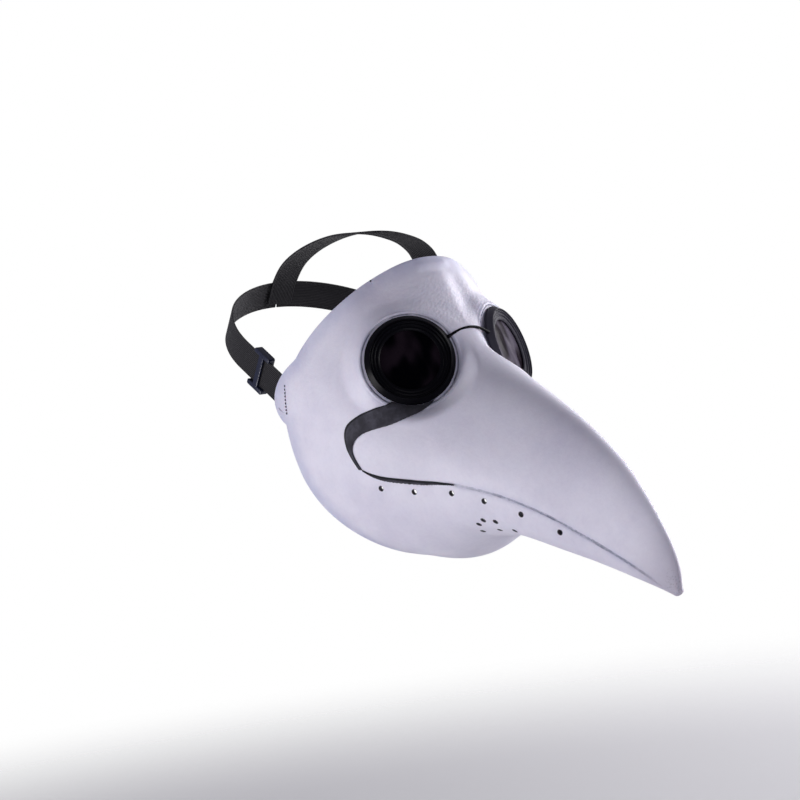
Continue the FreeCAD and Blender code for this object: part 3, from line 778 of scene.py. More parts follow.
# ------------------------------------------------------------------ latex shell
@dataclass
class MaskShell:
    """The moulded latex shell, its vents, grooves and folds."""

    wall: float = 2.0
    rings: int = 176
    spokes: int = 264
    inner_rings: int = 58
    hollow_end: float = 12.0
    eye_hole: float = 23.8
    vent: float = 1.75
    mouth_vent: float = 1.25
    side_vents: tuple = ((3.25, 116), (4.36, 116), (5.66, 111), (6.63, 110), (7.67, 110), (8.78, 112))
    mouth_vents: tuple = ((5.79, 136), (5.20, 144), (4.50, 156), (6.30, 134), (5.55, 152), (6.60, 143))
    groove: tuple = ((5.7, 102.7), (6.3, 101.5), (6.96, 100), (7.6, 98.7), (8.19, 98), (8.91, 98.2),
                     (9.36, 100), (10.0, 100.8), (10.73, 101), (11.4, 101), (12.03, 102), (12.5, 108))
    stitch_y: float = -3.5
    hollow_y: float = -262.0
    far_off: float = 99.0
    crest: tuple = (1.9, 6.5, 15.0)
    dip: tuple = (1.7, 15.0, 6.5)
    chin_dips: tuple = ((1.9, -119, 8, 30), (1.6, -66, 12, 45))
    hairline: tuple = ((0.9, 60.0, 2.4), (-0.7, 55.0, 1.6))
    eye_rings: tuple = ((0.55, 32.1, 1.1), (-0.5, 30.3, 0.7))
    furrow: tuple = (0.7, 0.9)
    vent_dimple: tuple = (0.45, 2.6)
    corner: tuple = (1.9, 38.0, 15.0)
    sway: float = 0.16

    def vents(self) -> list:
        """Every vent as (station, angle, radius)."""
        rows = [(s, a, self.vent) for s, a in self.side_vents]
        rows += [(s, a, self.mouth_vent) for s, a in self.mouth_vents]
        return [(s, side * a, r) for s, a, r in rows for side in (1, -1)]

    def vent_places(self) -> tuple:
        """Every vent's middle on the surface, and its outward direction."""
        stations, angles, _ = np.array(self.vents()).T
        return FORM.point(stations, angles), FORM.normal(stations, angles)

    def groove_line(self, side: int) -> np.ndarray:
        """Points along the groove that runs on from the mouth to the tip."""
        table = np.array(self.groove)
        steps = np.linspace(0, len(table) - 1, 220)
        rows = np.arange(len(table))
        stations = np.interp(steps, rows, table[:, 0])
        angles = np.interp(steps, rows, table[:, 1])
        return FORM.point(stations, side * angles)

    def relief(self, points: np.ndarray) -> np.ndarray:
        """Height of the moulded detail at each point of the outer surface, in millimetres."""
        x, y, z = points.T
        wide = np.abs(x)
        rise, radius = FORM.from_eye(fold(points))
        height = (np.abs(rise) < 25) * sum(rise_by * bell(radius, at, width)
                                           for rise_by, at, width in self.eye_rings)
        brow = ramp(z, 0, 16) * ramp(z, 64, 46) * (y < -60) * (z > -8)
        top, near_width, far_width = self.crest
        deep, middle, width = self.dip
        height += brow * (top * bell(x, 0, np.where(x > 0, near_width, far_width))
                          - deep * bell(x, middle, width))
        deep, middle, width = self.corner
        height -= deep * bell(wide, middle, width) * ramp(z, 24, 50) * (y < -30)
        for deep, middle, width, reach in self.chin_dips:
            height -= deep * bell(y, middle, width) * bell(x, 0, reach) * (z < -98)
        for rise_by, at, width in self.hairline:
            height += rise_by * bell(z, at, width) * ramp(wide, 15, 9) * (z > 40)
        lines = np.concatenate([self.groove_line(1), self.groove_line(-1)])
        for places, (deep, width) in ((lines, self.furrow), (self.vent_places()[0], self.vent_dimple)):
            height -= deep * bell(nearest(points, places)[0], 0, width)
        waves = np.sin(x * 0.11 + 1.3) * np.sin(y * 0.083 + 0.4) + np.sin(z * 0.127 + x * 0.05)
        return height + self.sway * waves * ramp(radius, 31, 46)

    def end_rings(self, ring: np.ndarray, axis: np.ndarray, reach: float, steps: int = 5) -> list:
        """Rings that round off an end, from a ring to a point."""
        middle = ring.mean(0)
        result = []
        for k in range(1, steps):
            turn = math.pi / 2 * k / steps
            result.append(middle + (ring - middle) * math.cos(turn) + axis * (reach * math.sin(turn)))
        return result

    def build(self) -> bpy.types.Object:
        """Makes the shell's mesh."""
        angles = 180 + 360 * np.arange(self.spokes) / self.spokes
        outer = []
        for i in range(self.rings + 1):
            station = FORM.last * i / self.rings
            ring = FORM.point(np.full(self.spokes, station), angles)
            normal = FORM.normal(np.full(self.spokes, station), angles)
            outer.append(ring + normal * self.relief(ring)[:, None])
        axis = outer[-1].mean(0) - outer[-6].mean(0)
        axis /= np.linalg.norm(axis)
        tip = self.end_rings(outer[-1], axis, 2.4)
        inner = []
        for i in range(self.inner_rings + 1):
            station = self.hollow_end * i / self.inner_rings
            depth = np.full(self.spokes, -self.wall)
            inner.append(FORM.lifted(np.full(self.spokes, station), angles, depth))
        blunt = self.end_rings(inner[-1], axis, 4.0)
        edge_out = outer[0] - outer[1]
        edge_out /= np.linalg.norm(edge_out, axis=1, keepdims=True)
        lip = [outer[0] * (1 - t) + inner[0] * t + edge_out * 0.55 for t in (0.25, 0.5, 0.75)]
        rows = [outer[-1].mean(0)[None] + axis * 2.4]
        rows += tip[::-1] + outer[::-1] + lip + inner + blunt
        rows.append(inner[-1].mean(0)[None] + axis * 4.0)
        return self.skin(rows)

    def skin(self, rows: list) -> bpy.types.Object:
        """Joins rows of points, the first and last of which are single points, into one skin."""
        points = np.concatenate(rows) * MM
        around = self.spokes
        faces = [(0, 1 + j, 1 + (j + 1) % around) for j in range(around)]
        for i in range(len(rows) - 3):
            a, b = 1 + i * around, 1 + (i + 1) * around
            faces += [(a + j, b + j, b + (j + 1) % around, a + (j + 1) % around) for j in range(around)]
        start = 1 + (len(rows) - 3) * around
        end = len(points) - 1
        faces += [(end, start + (j + 1) % around, start + j) for j in range(around)]
        piece = new_piece("mask_shell_skin", points, [], faces)
        tidy_mesh(piece)
        return piece

    def pierce(self, piece: bpy.types.Object) -> None:
        """Cuts the goggle holes and the vents."""
        tools = [drill(*FORM.eye_axis(side), self.eye_hole, 44, 96) for side in (1, -1)]
        for station, angle, radius in self.vents():
            normal = FORM.normal(station, angle)
            tools.append(drill(FORM.point(station, angle), normal, radius, 11, 28))
        deselect()
        for tool in tools:
            tool.select_set(True)
        bpy.context.view_layer.objects.active = tools[0]
        bpy.ops.object.join()
        cut(piece, bpy.context.view_layer.objects.active)

    def collars(self, piece: bpy.types.Object) -> None:
        """Thickens the wall inside, round each side vent."""
        made = []
        outline = rounded([(self.vent, -1.7), (3.4, -1.7), (2.9, -3.7), (self.vent, -3.7)], 0.3)
        for station, angle, radius in self.vents():
            if radius == self.vent and station < 8:
                normal = FORM.normal(station, angle)
                made.append(lathe("collar", outline, FORM.point(station, angle), normal, 28))
        pick(piece)
        for collar in made:
            collar.select_set(True)
        bpy.ops.object.join()

    def measure(self, piece: bpy.types.Object) -> None:
        """Stores the distances that the latex is painted by."""
        points = positions(piece)
        folded = fold(points)
        rim = FORM.point(np.zeros(721), np.linspace(0, 360, 721))
        store(piece, "rim_mm", nearest(points, rim)[0])
        rise, radius = FORM.from_eye(folded)
        store(piece, "eye_near", (np.abs(rise) < 16) & (radius < 45))
        line = self.groove_line(1)
        gap, at = nearest(folded, line)
        upward = np.cross(np.gradient(line, axis=0), line - (0, -150, -90))
        upward *= np.sign(upward[:, 2:])
        level = ((folded - line[at]) * upward[at]).sum(1)
        store(piece, "groove_mm", np.where(level >= 0, gap, -gap))
        store(piece, "groove_at", at / (len(line) - 1))
        holes, axes = self.vent_places()
        _, at = nearest(points, holes)
        offset = points - holes[at]
        rise = (offset * axes[at]).sum(1)
        radius = np.sqrt(np.maximum((offset ** 2).sum(1) - rise ** 2, 0))
        store(piece, "vent_mm", np.where(np.abs(rise) < 6, radius, self.far_off))
        tip = FORM.point(float(FORM.last), 0.0)
        store(piece, "tip_mm", np.linalg.norm(points - tip, axis=1))
        store(piece, "tab_mm", self.tab_lines(points))
        brow = ramp(points[:, 2], 12, 26) * ramp(points[:, 2], 58, 44) * ramp(folded[:, 0], 42, 24)
        store(piece, "brow", brow * (points[:, 1] < -50))
        grid = np.meshgrid(np.linspace(0, FORM.last, 200), np.linspace(0, 360, 270))
        skin = FORM.point(*grid).reshape(-1, 3)
        outward = FORM.normal(*grid).reshape(-1, 3)
        _, at = nearest(points, skin)
        level = ((points - skin[at]) * outward[at]).sum(1) - self.relief(skin)[at]
        store(piece, "inside", ramp(level, -0.75, -1.15) * (points[:, 1] > self.hollow_y))

    def tab_lines(self, points: np.ndarray) -> np.ndarray:
        """Distance from the seam across the temple tab and from the crease that curves round it."""
        seam = np.abs(points[:, 1] - self.stitch_y) + 9 * (np.abs(points[:, 2] + 14.5) > 10.5)
        bend = np.linspace(0, math.pi / 2, 40)
        crease = np.stack([0 * bend, -4 + 11.5 * np.sin(bend), -12 - 12 * np.cos(bend)], 1)
        away, _ = nearest(points * (0, 1, 1), crease)
        return np.where(np.abs(points[:, 0]) > 55, np.minimum(seam, away + 0.15), self.far_off)

    def make(self, finish: bpy.types.Material) -> None:
        """Builds, pierces and dresses the shell."""
        piece = self.build()
        self.pierce(piece)
        self.collars(piece)
        smooth(piece, 42)
        self.measure(piece)
        dress(piece, finish, "latex_white", "mask", "mask_shell")


# ------------------------------------------------------------------ goggles
@dataclass
class Goggle:
    """One round goggle: stepped rim, bezel, film lens and the ring that clamps it inside."""

    side: Side
    rim: tuple = ((23.0, -5.6), (23.0, 0.25), (29.0, 0.25), (29.0, 1.8), (28.3, 2.5), (26.4, 4.75),
                  (25.95, 5.15), (25.6, 5.05), (25.4, 4.4), (25.4, 2.0), (21.3, 2.0), (21.3, 0.2),
                  (19.6, 0.2), (19.6, -5.6))
    bezel: tuple = ((25.3, 2.1), (25.3, 4.1), (24.9, 4.4), (24.4, 4.3), (24.1, 3.5), (23.6, 3.35),
                    (22.9, 3.8), (22.4, 3.7), (22.1, 3.0), (21.5, 2.85), (20.9, 3.2), (20.4, 3.15),
                    (19.2, 2.55), (19.2, 2.1))
    retainer: tuple = ((23.1, -5.2), (23.1, -2.6), (27.5, -2.6), (27.5, -4.0), (26.5, -5.2))
    film: float = 21.2
    film_level: float = 1.3
    film_thick: float = 0.9
    crown: float = 0.55

    def make(self, finish: bpy.types.Material, film: bpy.types.Material) -> None:
        """Builds the four pieces.

        Args:
            finish: Finish of the rim, the bezel and the retainer.
            film: Finish of the lens.
        """
        axis = FORM.eye_axis(self.side.value)
        for name, outline, soft in (("rim", self.rim, 0.45), ("bezel", self.bezel, 0.22),
                                    ("retainer", self.retainer, 0.4)):
            node = "goggle_" + name + "_" + self.side.tag
            piece = lathe(node + "_ring", rounded(outline, soft), *axis)
            smooth(piece, 50)
            dress(piece, finish, "black_gloss", "mask", node)
        node = "goggle_lens_" + self.side.tag
        piece = lathe(node + "_film", self.dome(), *axis, 96)
        smooth(piece, 50)
        dress(piece, film, "lens_dark", "mask", node)

    def dome(self) -> list:
        """Outline of a slightly domed film with a rolled edge."""
        steps = 14
        front = [(self.film * i / steps, self.film_level + self.crown * (1 - (i / steps) ** 2))
                 for i in range(steps)]
        back = [(r, h - self.film_thick) for r, h in reversed(front)]
        edge = [(self.film + roll, self.film_level - drop)
                for roll, drop in ((0, 0.1), (0.02, 0.5), (0, 0.8))]
        return front + edge + back


@dataclass
class BridgeWire:
    """The arched wire between the goggles, with a collar where it enters each rim."""

    radius: float = 0.9
    collar: float = 1.35
    top: float = 3.08
    lift: float = 2.0
    spoke: float = 28.3
    spoke_turn: float = math.radians(24)
    spoke_lift: float = 1.9
    steps: int = 40
    around: int = 20

    def make(self, gloss: bpy.types.Material) -> None:
        """Builds the wire as one tube that swells at both ends."""
        apex = FORM.lifted(self.top, 0.0, self.lift)
        end = self.end_point()
        fall = end - apex
        turns = [2 * math.pi * j / self.around for j in range(self.around)]
        rings = []
        for i in range(self.steps + 1):
            t = 2 * i / self.steps - 1
            middle = np.array([end[0] * t, apex[1] + fall[1] * t * t, apex[2] + fall[2] * t * t])
            tangent = np.array([end[0], 2 * fall[1] * t, 2 * fall[2] * t])
            tangent /= np.linalg.norm(tangent)
            up = np.cross(tangent, (0, 1, 0))
            up /= np.linalg.norm(up)
            out = np.cross(tangent, up)
            size = self.radius + (self.collar - self.radius) * ramp(np.abs(t), 0.86, 0.98)
            rings.append([(middle + size * (math.cos(a) * up + math.sin(a) * out)) * MM for a in turns])
        piece = closed_strip("nose_bridge_wire_tube", rings)
        smooth(piece, 60, MERGE)
        dress(piece, gloss, "black_gloss", "mask", "nose_bridge_wire")

    def end_point(self) -> np.ndarray:
        """Where the wire meets the left goggle's rim, in millimetres."""
        centre, normal = FORM.eye_axis(1)
        inwards = np.cross(normal, (0, 0, 1))
        inwards /= np.linalg.norm(inwards)
        up = np.array([0, 0, 1]) - normal * normal[2]
        up /= np.linalg.norm(up)
        spoke = inwards * math.cos(self.spoke_turn) + up * math.sin(self.spoke_turn)
        return centre + spoke * self.spoke + normal * self.spoke_lift


# ------------------------------------------------------------------ trim
@dataclass
class Trim:
    """A flocked strip lying on the latex between two edges, each a row of (station, angle)."""

    side: Side
    node: str
    outer: tuple
    inner: tuple
    thick: float = 0.8
    rough: float = 0.15
    steps: int = 120
    under_rim: bool = False
    lift: float = 0.15
    rim_cut: float = 29.25
    profile: tuple = ((0.0, 0.12), (-0.03, 0.45), (0.02, 0.8), (0.12, 1.0), (0.3, 1.04), (0.5, 1.05),
                      (0.7, 1.04), (0.88, 1.0), (0.98, 0.8), (1.03, 0.45), (1.0, 0.12), (0.5, 0.1))

    @staticmethod
    def smooth_row(row: tuple, steps: int) -> np.ndarray:
        """A smooth line through a few points."""
        table = np.array(row, float)
        count = len(table)
        t = np.linspace(0, count - 1, steps + 1)
        index = np.clip(t.astype(int), 0, count - 2)
        h = (t - index)[:, None]
        padded = np.concatenate([[2 * table[0] - table[1]], table, [2 * table[-1] - table[-2]]])
        a, b, c, d = (padded[index + k] for k in range(4))
        return 0.5 * (2 * b + (c - a) * h + (2 * a - 5 * b + 4 * c - d) * h ** 2
                      + (3 * b - a - 3 * c + d) * h ** 3)

    def make(self, finish: bpy.types.Material) -> None:
        """Builds the strip with rounded, slightly ragged edges."""
        sign = self.side.value
        outer = self.smooth_row(self.outer, self.steps)
        inner = self.smooth_row(self.inner, self.steps)
        rings, across, along = [], [], []
        travelled, previous = 0.0, None
        for i in range(self.steps + 1):
            ragged = self.rough * math.sin(i * 1.9 + 0.7 * math.sin(i * 0.83)) / 20
            a, b = outer[i], inner[i] + (inner[i] - outer[i]) * ragged
            span = np.linalg.norm(FORM.point(a[0], sign * a[1]) - FORM.point(b[0], sign * b[1]))
            ring = []
            for share, level in self.profile:
                at = a + (b - a) * share
                ring.append(FORM.lifted(at[0], sign * at[1], self.lift + self.thick * level) * MM)
            rings.append(ring)
            across.append([max(share, 0) * span * MM for share, _ in self.profile])
            middle = np.array(ring).mean(0)
            travelled += 0 if previous is None else float(np.linalg.norm(middle - previous))
            previous = middle
            along.append(travelled)
        piece = closed_strip(self.node + "_" + self.side.tag + "_flock", rings)
        weave_map(piece, strip_spots(along, across))
        if self.under_rim:
            cut(piece, drill(*FORM.eye_axis(sign), self.rim_cut, 30, 96))
        smooth(piece, 60, MERGE)
        dress(piece, finish, "flock_charcoal", "mask", self.node + "_" + self.side.tag)


# ------------------------------------------------------------------ straps and sliders
@dataclass
class Harness:
    """Elastic straps, sliders, backing patches and thread."""

    width: float = 20.0
    thick: float = 1.2
    ribs: int = 16
    start: tuple = (-3.0, -15.0)
    straight: float = 58.0
    back: float = 128.0
    strap_x: float = 73.3
    crown: tuple = ((-73.9, 53.0), (-69.0, 63.0), (-62.3, 71.5), (-48.0, 79.5), (-20.0, 87.0),
                    (16.0, 90.0), (50.0, 86.5), (76.5, 78.5), (92.4, 66.5), (102.7, 51.9))
    rise: Vector = field(default_factory=lambda: Vector(frame["joints"][0]["axis"]).normalized())
    patch_start: float = 0.10
    patch_span: float = 0.76
    patch_levels: tuple = (2.25, 2.75)
    patch_half: float = 11.0
    fray: float = 0.04
    tab_row: tuple = (77.5, 12.0, 9)
    rear_row: tuple = (-8.0, 16.0, 5)
    thread_size: float = 0.36

    @property
    def across(self) -> Vector:
        """Direction across a side strap's face."""
        return Vector((0, -self.rise.z, self.rise.y))

    def strap_point(self, side: int, out_at: float, along_at: float, across_at: float = 0.0) -> Vector:
        """A point in a side strap's own directions, in millimetres."""
        base = Vector((side * out_at, self.start[0], self.start[1]))
        return base + self.rise * along_at + self.across * across_at

    def side_path(self, side: int) -> list:
        """Middle line of a side strap."""
        path = [self.strap_point(side, self.strap_x, self.straight * i / 10) for i in range(11)]
        for i in range(1, 31):
            turn = math.pi / 2 * i / 30.2
            along = self.straight + (self.back - self.straight) * math.sin(turn)
            path.append(self.strap_point(side, max(self.strap_x * math.cos(turn), 0.5), along))
        return path

    def ribbon(self, name: str, path: list, across: Vector) -> bpy.types.Object:
        """A ribbed strap along a path, with a rolled selvedge at both edges."""
        points = [Vector(p) for p in path]
        section = []
        columns = self.ribs * 4
        for k in range(columns + 1):
            at = k / columns - 0.5
            rib = 0.09 * math.cos(2 * math.pi * self.ribs * at)
            edge = 0.22 * math.exp(-((abs(at) - 0.47) / 0.02) ** 2)
            section.append((at * self.width, self.thick / 2 - 0.1 + rib + edge * 0.6))
        outline = section + [(a, -h) for a, h in reversed(section)]
        rings, widths, along = [], [], []
        travelled = 0.0
        for i, point in enumerate(points):
            ahead = points[min(i + 1, len(points) - 1)] - points[max(i - 1, 0)]
            normal = ahead.normalized().cross(across).normalized()
            rings.append([(point + across * a + normal * h) * MM for a, h in outline])
            widths.append([(a + self.width) * MM for a, _ in outline])
            travelled += (point - points[i - 1]).length * MM if i else 0.0
            along.append(travelled)
        piece = closed_strip(name, rings)
        weave_map(piece, strip_spots(along, widths))
        smooth(piece, 60, MERGE)
        return piece

    def top_path(self) -> list:
        """Middle line of the strap over the head."""
        row = Trim.smooth_row(self.crown, 72)
        return [Vector((0, y, z)) for y, z in row]

    def patch(self, name: str, centre: float, sign: int) -> bpy.types.Object:
        """A cloth patch glued inside the shell, centred on an angle."""
        rows, columns = 26, 34
        points, spots = [], []
        for level in self.patch_levels:
            for i in range(rows + 1):
                station = self.patch_start + self.patch_span * i / rows
                for j in range(columns + 1):
                    angle = centre + self.patch_half * (2 * j / columns - 1)
                    depth = level + self.fray * math.sin(3.1 * i + 1.7 * j)
                    points.append(FORM.lifted(station, sign * angle, -depth) * MM)
                    spots.append((station * 0.019, math.radians(angle) * 0.078))
        wide = columns + 1
        base = (rows + 1) * wide
        faces = []
        for i in range(rows):
            for j in range(columns):
                a = i * wide + j
                faces.append((a, a + 1, a + wide + 1, a + wide))
                faces.append((base + a, base + a + wide, base + a + wide + 1, base + a + 1))
        ring = list(range(wide)) + [i * wide + columns for i in range(1, rows + 1)]
        ring += [rows * wide + j for j in range(columns - 1, -1, -1)]
        ring += [i * wide for i in range(rows - 1, 0, -1)]
        for here, after in zip(ring, ring[1:] + ring[:1]):
            faces.append((here, base + here, base + after, after))
        piece = new_piece(name, points, [], faces)
        weave_map(piece, spots)
        smooth(piece, 50, MERGE)
        return piece

    def slider(self, side: Side) -> bpy.types.Object:
        """The ladder slider, from its CAD solid with softened edges."""
        node = frame["nodes"]["strap_slider_" + side.tag]
        piece = node.copy()
        piece.data = node.data.copy()
        piece.name = "strap_slider_" + side.tag + "_moulding"
        bpy.context.scene.collection.objects.link(piece)
        piece.parent = None
        for key in list(piece.keys()):
            del piece[key]
        tidy_mesh(piece, 1e-5)
        pick(piece)
        bpy.ops.object.mode_set(mode="EDIT")
        bpy.ops.mesh.select_all(action="SELECT")
        bpy.ops.mesh.dissolve_limited(angle_limit=math.radians(2))
        bpy.ops.object.mode_set(mode="OBJECT")
        bevel(piece, 0.00035, 3, 40)
        smooth(piece, 40)
        return piece

    def thread(self, name: str, runs: list) -> bpy.types.Object:
        """Stitches: each run is a short, slightly bowed length of thread."""
        points, faces = [], []
        around, steps = 8, 5
        turns = [2 * math.pi * j / around for j in range(around)]
        for first, last, out in runs:
            a, b, lift = Vector(first), Vector(last), Vector(out)
            cross = (b - a).normalized().cross(lift).normalized()
            faces += tube_faces(len(points), steps + 1, around)
            for i in range(steps + 1):
                t = i / steps
                bow = math.sin(math.pi * t)
                size = self.thread_size * (0.45 + 0.55 * bow ** 0.4)
                middle = a + (b - a) * t + lift * (0.25 * bow - 0.1)
                points += [(middle + (cross * math.cos(turn) + lift * math.sin(turn)) * size) * MM
                           for turn in turns]
        piece = new_piece(name, points, [], faces)
        smooth(piece, 60, MERGE)
        return piece

    @staticmethod
    def seam_station(angle: float) -> float:
        """The station where the surface crosses the seam, found by halving."""
        low, high = 0.0, 2.0
        for _ in range(30):
            middle = (low + high) / 2
            if FORM.point(middle, angle)[1] > MaskShell.stitch_y:
                low = middle
            else:
                high = middle
        return low

    def tab_runs(self, sign: int) -> list:
        """The upright stitch row at the root of the temple tab."""
        runs = []
        first_angle, span, count = self.tab_row
        for i in range(count):
            angles = [first_angle + span * (i + share) / count for share in (0.15, 0.85)]
            ends = [(self.seam_station(angle), sign * angle) for angle in angles]
            first, last = [FORM.lifted(*end, 0.35) for end in ends]
            runs.append((first, last, FORM.normal(*ends[0])))
        return runs

    def rear_runs(self) -> list:
        """Two stitch rows where the straps meet at the back."""
        runs = []
        start, span, count = self.rear_row
        for x in (-3.5, 3.5):
            for i in range(count):
                first, last = [self.strap_point(1, x, self.back + 1.0, start + span * (i + share) / count)
                               for share in (0.2, 0.8)]
                runs.append((first, last, self.rise))
        return runs

    def make(self, finishes: dict) -> None:
        """Builds every strap, slider, patch and stitch."""
        for side in Side:
            sign, tag = side.value, side.tag
            strap = self.ribbon("side_strap_" + tag + "_elastic", self.side_path(sign), self.across)
            dress(strap, finishes["elastic"], "elastic_black", "mask", "side_strap_" + tag)
            patch = self.patch("tab_patch_" + tag + "_cloth", 82, sign)
            dress(patch, finishes["cotton"], "patch_cloth", "mask", "tab_patch_" + tag)
            slider = self.slider(side)
            dress(slider, finishes["blue"], "slider_blue", "slider_" + tag, "strap_slider_" + tag)
            thread = self.thread("tab_stitches_" + tag + "_thread", self.tab_runs(sign))
            dress(thread, finishes["grey"], "thread_grey", "mask", "tab_stitches_" + tag)
        top = self.ribbon("top_strap_elastic", self.top_path(), Vector((1, 0, 0)))
        dress(top, finishes["elastic"], "elastic_black", "mask", "top_strap")
        patch = self.patch("top_patch_cloth", 0, 1)
        dress(patch, finishes["cotton"], "patch_cloth", "mask", "top_patch")
        rear = self.thread("rear_stitches_thread", self.rear_runs())
        dress(rear, finishes["black"], "thread_black", "mask", "rear_stitches")


# ------------------------------------------------------------------ studio
@dataclass(frozen=True)
class Softbox:
    """A square lamp aimed at the mask.

    Its direction is given as shares towards the camera, to the right and up; size is its side in
    metres.
    """

    name: str
    towards: tuple
    size: float
    watts: float
    tint: tuple = (1.0, 0.985, 1.0)


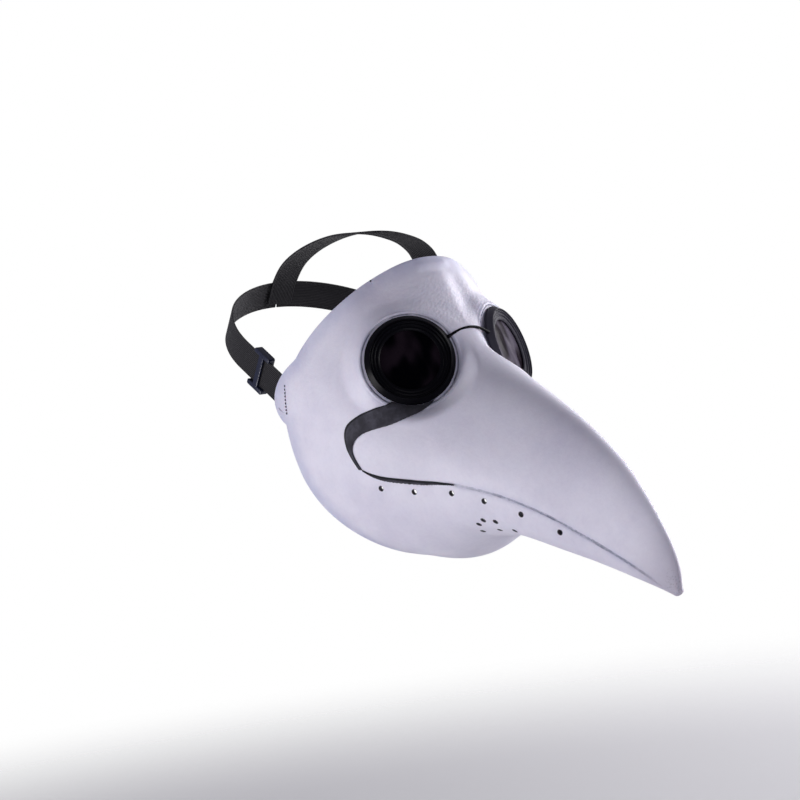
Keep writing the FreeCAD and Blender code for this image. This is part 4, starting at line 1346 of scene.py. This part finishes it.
@dataclass
class Studio:
    """Floor, light and camera."""

    floor_z: float = -0.34
    floor_radius: float = 1.25
    room: float = 0.2
    room_tint: tuple = (0.86, 0.85, 1.0, 1)
    wall_white: float = math.radians(15)
    wall_end: float = math.radians(24)
    lamp_distance: float = 2.0
    lamps: tuple = (
        Softbox("left_softbox", (0.32, -0.88, -0.36), 1.1, 36),
        Softbox("front_softbox", (0.93, 0.12, -0.3), 0.9, 7, (0.95, 0.93, 1.0)),
        Softbox("low_softbox", (0.35, -0.2, -0.9), 0.9, 9, (0.97, 0.96, 1.0)),
        Softbox("far_softbox", (0.16, 0.95, 0.24), 0.8, 19),
        Softbox("right_softbox", (-0.66, 0.68, 0.28), 1.7, 42))
    azimuth: float = math.radians(38.5)
    elevation: float = math.radians(0.8)
    roll: float = math.radians(7.3)
    distance: float = 1.6
    centre: Vector = field(default_factory=lambda: Vector((0, -0.09, -0.03)))
    aim: Vector = field(default_factory=lambda: Vector((-0.0320, -0.0646, -0.0240)))
    lens: float = 112.74

    def floor(self) -> None:
        """A pale round floor whose edge fades into the surround."""
        deselect()
        middle = (0, self.centre.y, self.floor_z)
        bpy.ops.mesh.primitive_circle_add(vertices=128, radius=self.floor_radius, fill_type="NGON",
                                          location=middle)
        bpy.ops.object.transform_apply(location=True)
        disc = bpy.context.object
        disc.name = "studio_floor"
        p = Paint("pale_floor")
        colour = p.blend(p.noise(3, 2) * 0.2, (0.86, 0.86, 0.87, 1), (0.80, 0.80, 0.81, 1))
        p.finish(Base_Color=colour, Roughness=0.8)
        away = p.vector("DISTANCE", p.place, middle, 1)
        clear = p.node("ShaderNodeBsdfTransparent", {}, {})
        fade = away.step(self.floor_radius * 0.35, self.floor_radius * 0.98)
        mixed = p.node("ShaderNodeMixShader", {}, {0: fade, 1: Sock(p, p.shader.outputs[0]), 2: clear})
        p.feed(p.tree.nodes["Material Output"].inputs["Surface"], mixed)
        disc.data.materials.append(p.material)

    def axes(self) -> tuple:
        """Directions towards the camera, to its right and up."""
        flat = math.cos(self.elevation)
        back = Vector((-math.sin(self.azimuth) * flat, -math.cos(self.azimuth) * flat,
                       math.sin(self.elevation)))
        right = Vector((math.cos(self.azimuth), -math.sin(self.azimuth), 0))
        level = back.cross(right)
        up = level * math.cos(self.roll) + right * math.sin(self.roll)
        return back, right * math.cos(self.roll) - level * math.sin(self.roll), up

    def surround(self) -> None:
        """A dim room with one bright white wall behind the object."""
        world = bpy.data.worlds.new("surround")
        bpy.context.scene.world = world
        world.use_nodes = True
        nodes = Nodes(world.node_tree)
        back, _, _ = self.axes()
        place = nodes.node("ShaderNodeTexCoord", {}, {}, "Generated")
        wall = nodes.vector("DOT_PRODUCT", place, -back, "Value")
        wall = wall.step(math.cos(self.wall_end), math.cos(self.wall_white))
        room = nodes.node("ShaderNodeBackground", {}, {"Color": self.room_tint, "Strength": self.room})
        white = nodes.node("ShaderNodeBackground", {}, {"Color": (1, 1, 1, 1), "Strength": 1.0})
        mixed = nodes.node("ShaderNodeMixShader", {}, {0: wall, 1: room, 2: white})
        nodes.feed(nodes.tree.nodes["World Output"].inputs["Surface"], mixed)

    def lamp(self, box: Softbox) -> None:
        """Hangs one softbox."""
        data = bpy.data.lights.new(box.name, "AREA")
        data.size = box.size
        data.energy = box.watts
        data.color = box.tint
        lamp = bpy.data.objects.new(box.name, data)
        direction = sum((axis * share for axis, share in zip(self.axes(), box.towards)), Vector())
        lamp.location = self.centre + direction.normalized() * self.lamp_distance
        lamp.rotation_euler = direction.to_track_quat("Z", "Y").to_euler()
        bpy.context.scene.collection.objects.link(lamp)

    def camera(self) -> None:
        """The camera, a long lens from the wearer's right and front."""
        data = bpy.data.cameras.new("camera")
        data.lens = self.lens
        data.sensor_width = 36
        camera = bpy.data.objects.new("camera", data)
        bpy.context.scene.collection.objects.link(camera)
        back, _, up = self.axes()
        camera.location = self.centre + back * self.distance
        ahead = (self.aim - camera.location).normalized()
        across = ahead.cross(up).normalized()
        upright = across.cross(ahead)
        turn = Matrix((across, upright, -ahead)).transposed()
        camera.rotation_euler = turn.to_euler()
        bpy.context.scene.camera = camera

    def make(self) -> None:
        """Sets the whole studio."""
        self.camera()
        self.floor()
        self.surround()
        for box in self.lamps:
            self.lamp(box)
        view = bpy.context.scene.view_settings
        view.view_transform = "Standard"
        view.look = "None"


def main() -> None:
    """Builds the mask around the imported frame."""
    logging.basicConfig(level=logging.INFO, format="%(name)s %(message)s")
    Studio().make()
    gloss = BlackGloss().make()
    flock = Flock().make()
    # The left goggle's rim, bezel and retainer are painted grey as a painted sheen.
    left_rim_painted_sheen = BlackGloss("black_plastic_painted_sheen", (0.037, 0.035, 0.048, 1), (0.070, 0.066, 0.085, 1), 0.45)
    # The left lens's waves are painted light violet-brown as a painted reflection.
    left_lens_painted_reflection = SmokedLens("film_lens_painted_reflection", (0.016, 0.012, 0.017, 1), (0.095, 0.083, 0.112, 1))
    goggle_looks = {Side.LEFT: (left_rim_painted_sheen.make(), left_lens_painted_reflection.make()), Side.RIGHT: (gloss, SmokedLens().make())}
    MaskShell().make(Latex().make())
    BridgeWire().make(gloss)
    for side in Side:
        Goggle(side).make(*goggle_looks[side])
        Trim(side, "cheek_band",
             ((3.88, 57), (3.71, 65), (3.45, 70), (3.06, 77), (2.70, 85.5), (2.67, 95), (2.88, 106)),
             ((4.55, 42), (4.66, 52), (4.55, 62), (4.09, 74), (3.20, 86.5), (2.88, 96), (2.99, 106)),
             under_rim=True).make(flock)
        Trim(side, "mouth_strip",
             ((3.0, 105.9), (3.31, 107.5), (3.8, 108), (4.75, 106.5), (5.4, 103.8), (5.9, 102)),
             ((2.98, 106.8), (3.31, 109.6), (3.8, 110.8), (4.75, 109.4), (5.4, 106), (5.9, 103)),
             thick=0.5, rough=1.6).make(flock)
    black = Thread("black_thread", (0.008, 0.008, 0.01, 1), (0.03, 0.03, 0.035, 1))
    Harness().make({"elastic": Elastic().make(), "cotton": Cotton().make(), "blue": BluePlastic().make(),
                    "grey": Thread().make(), "black": black.make()})


if __name__ == "__main__":
    main()
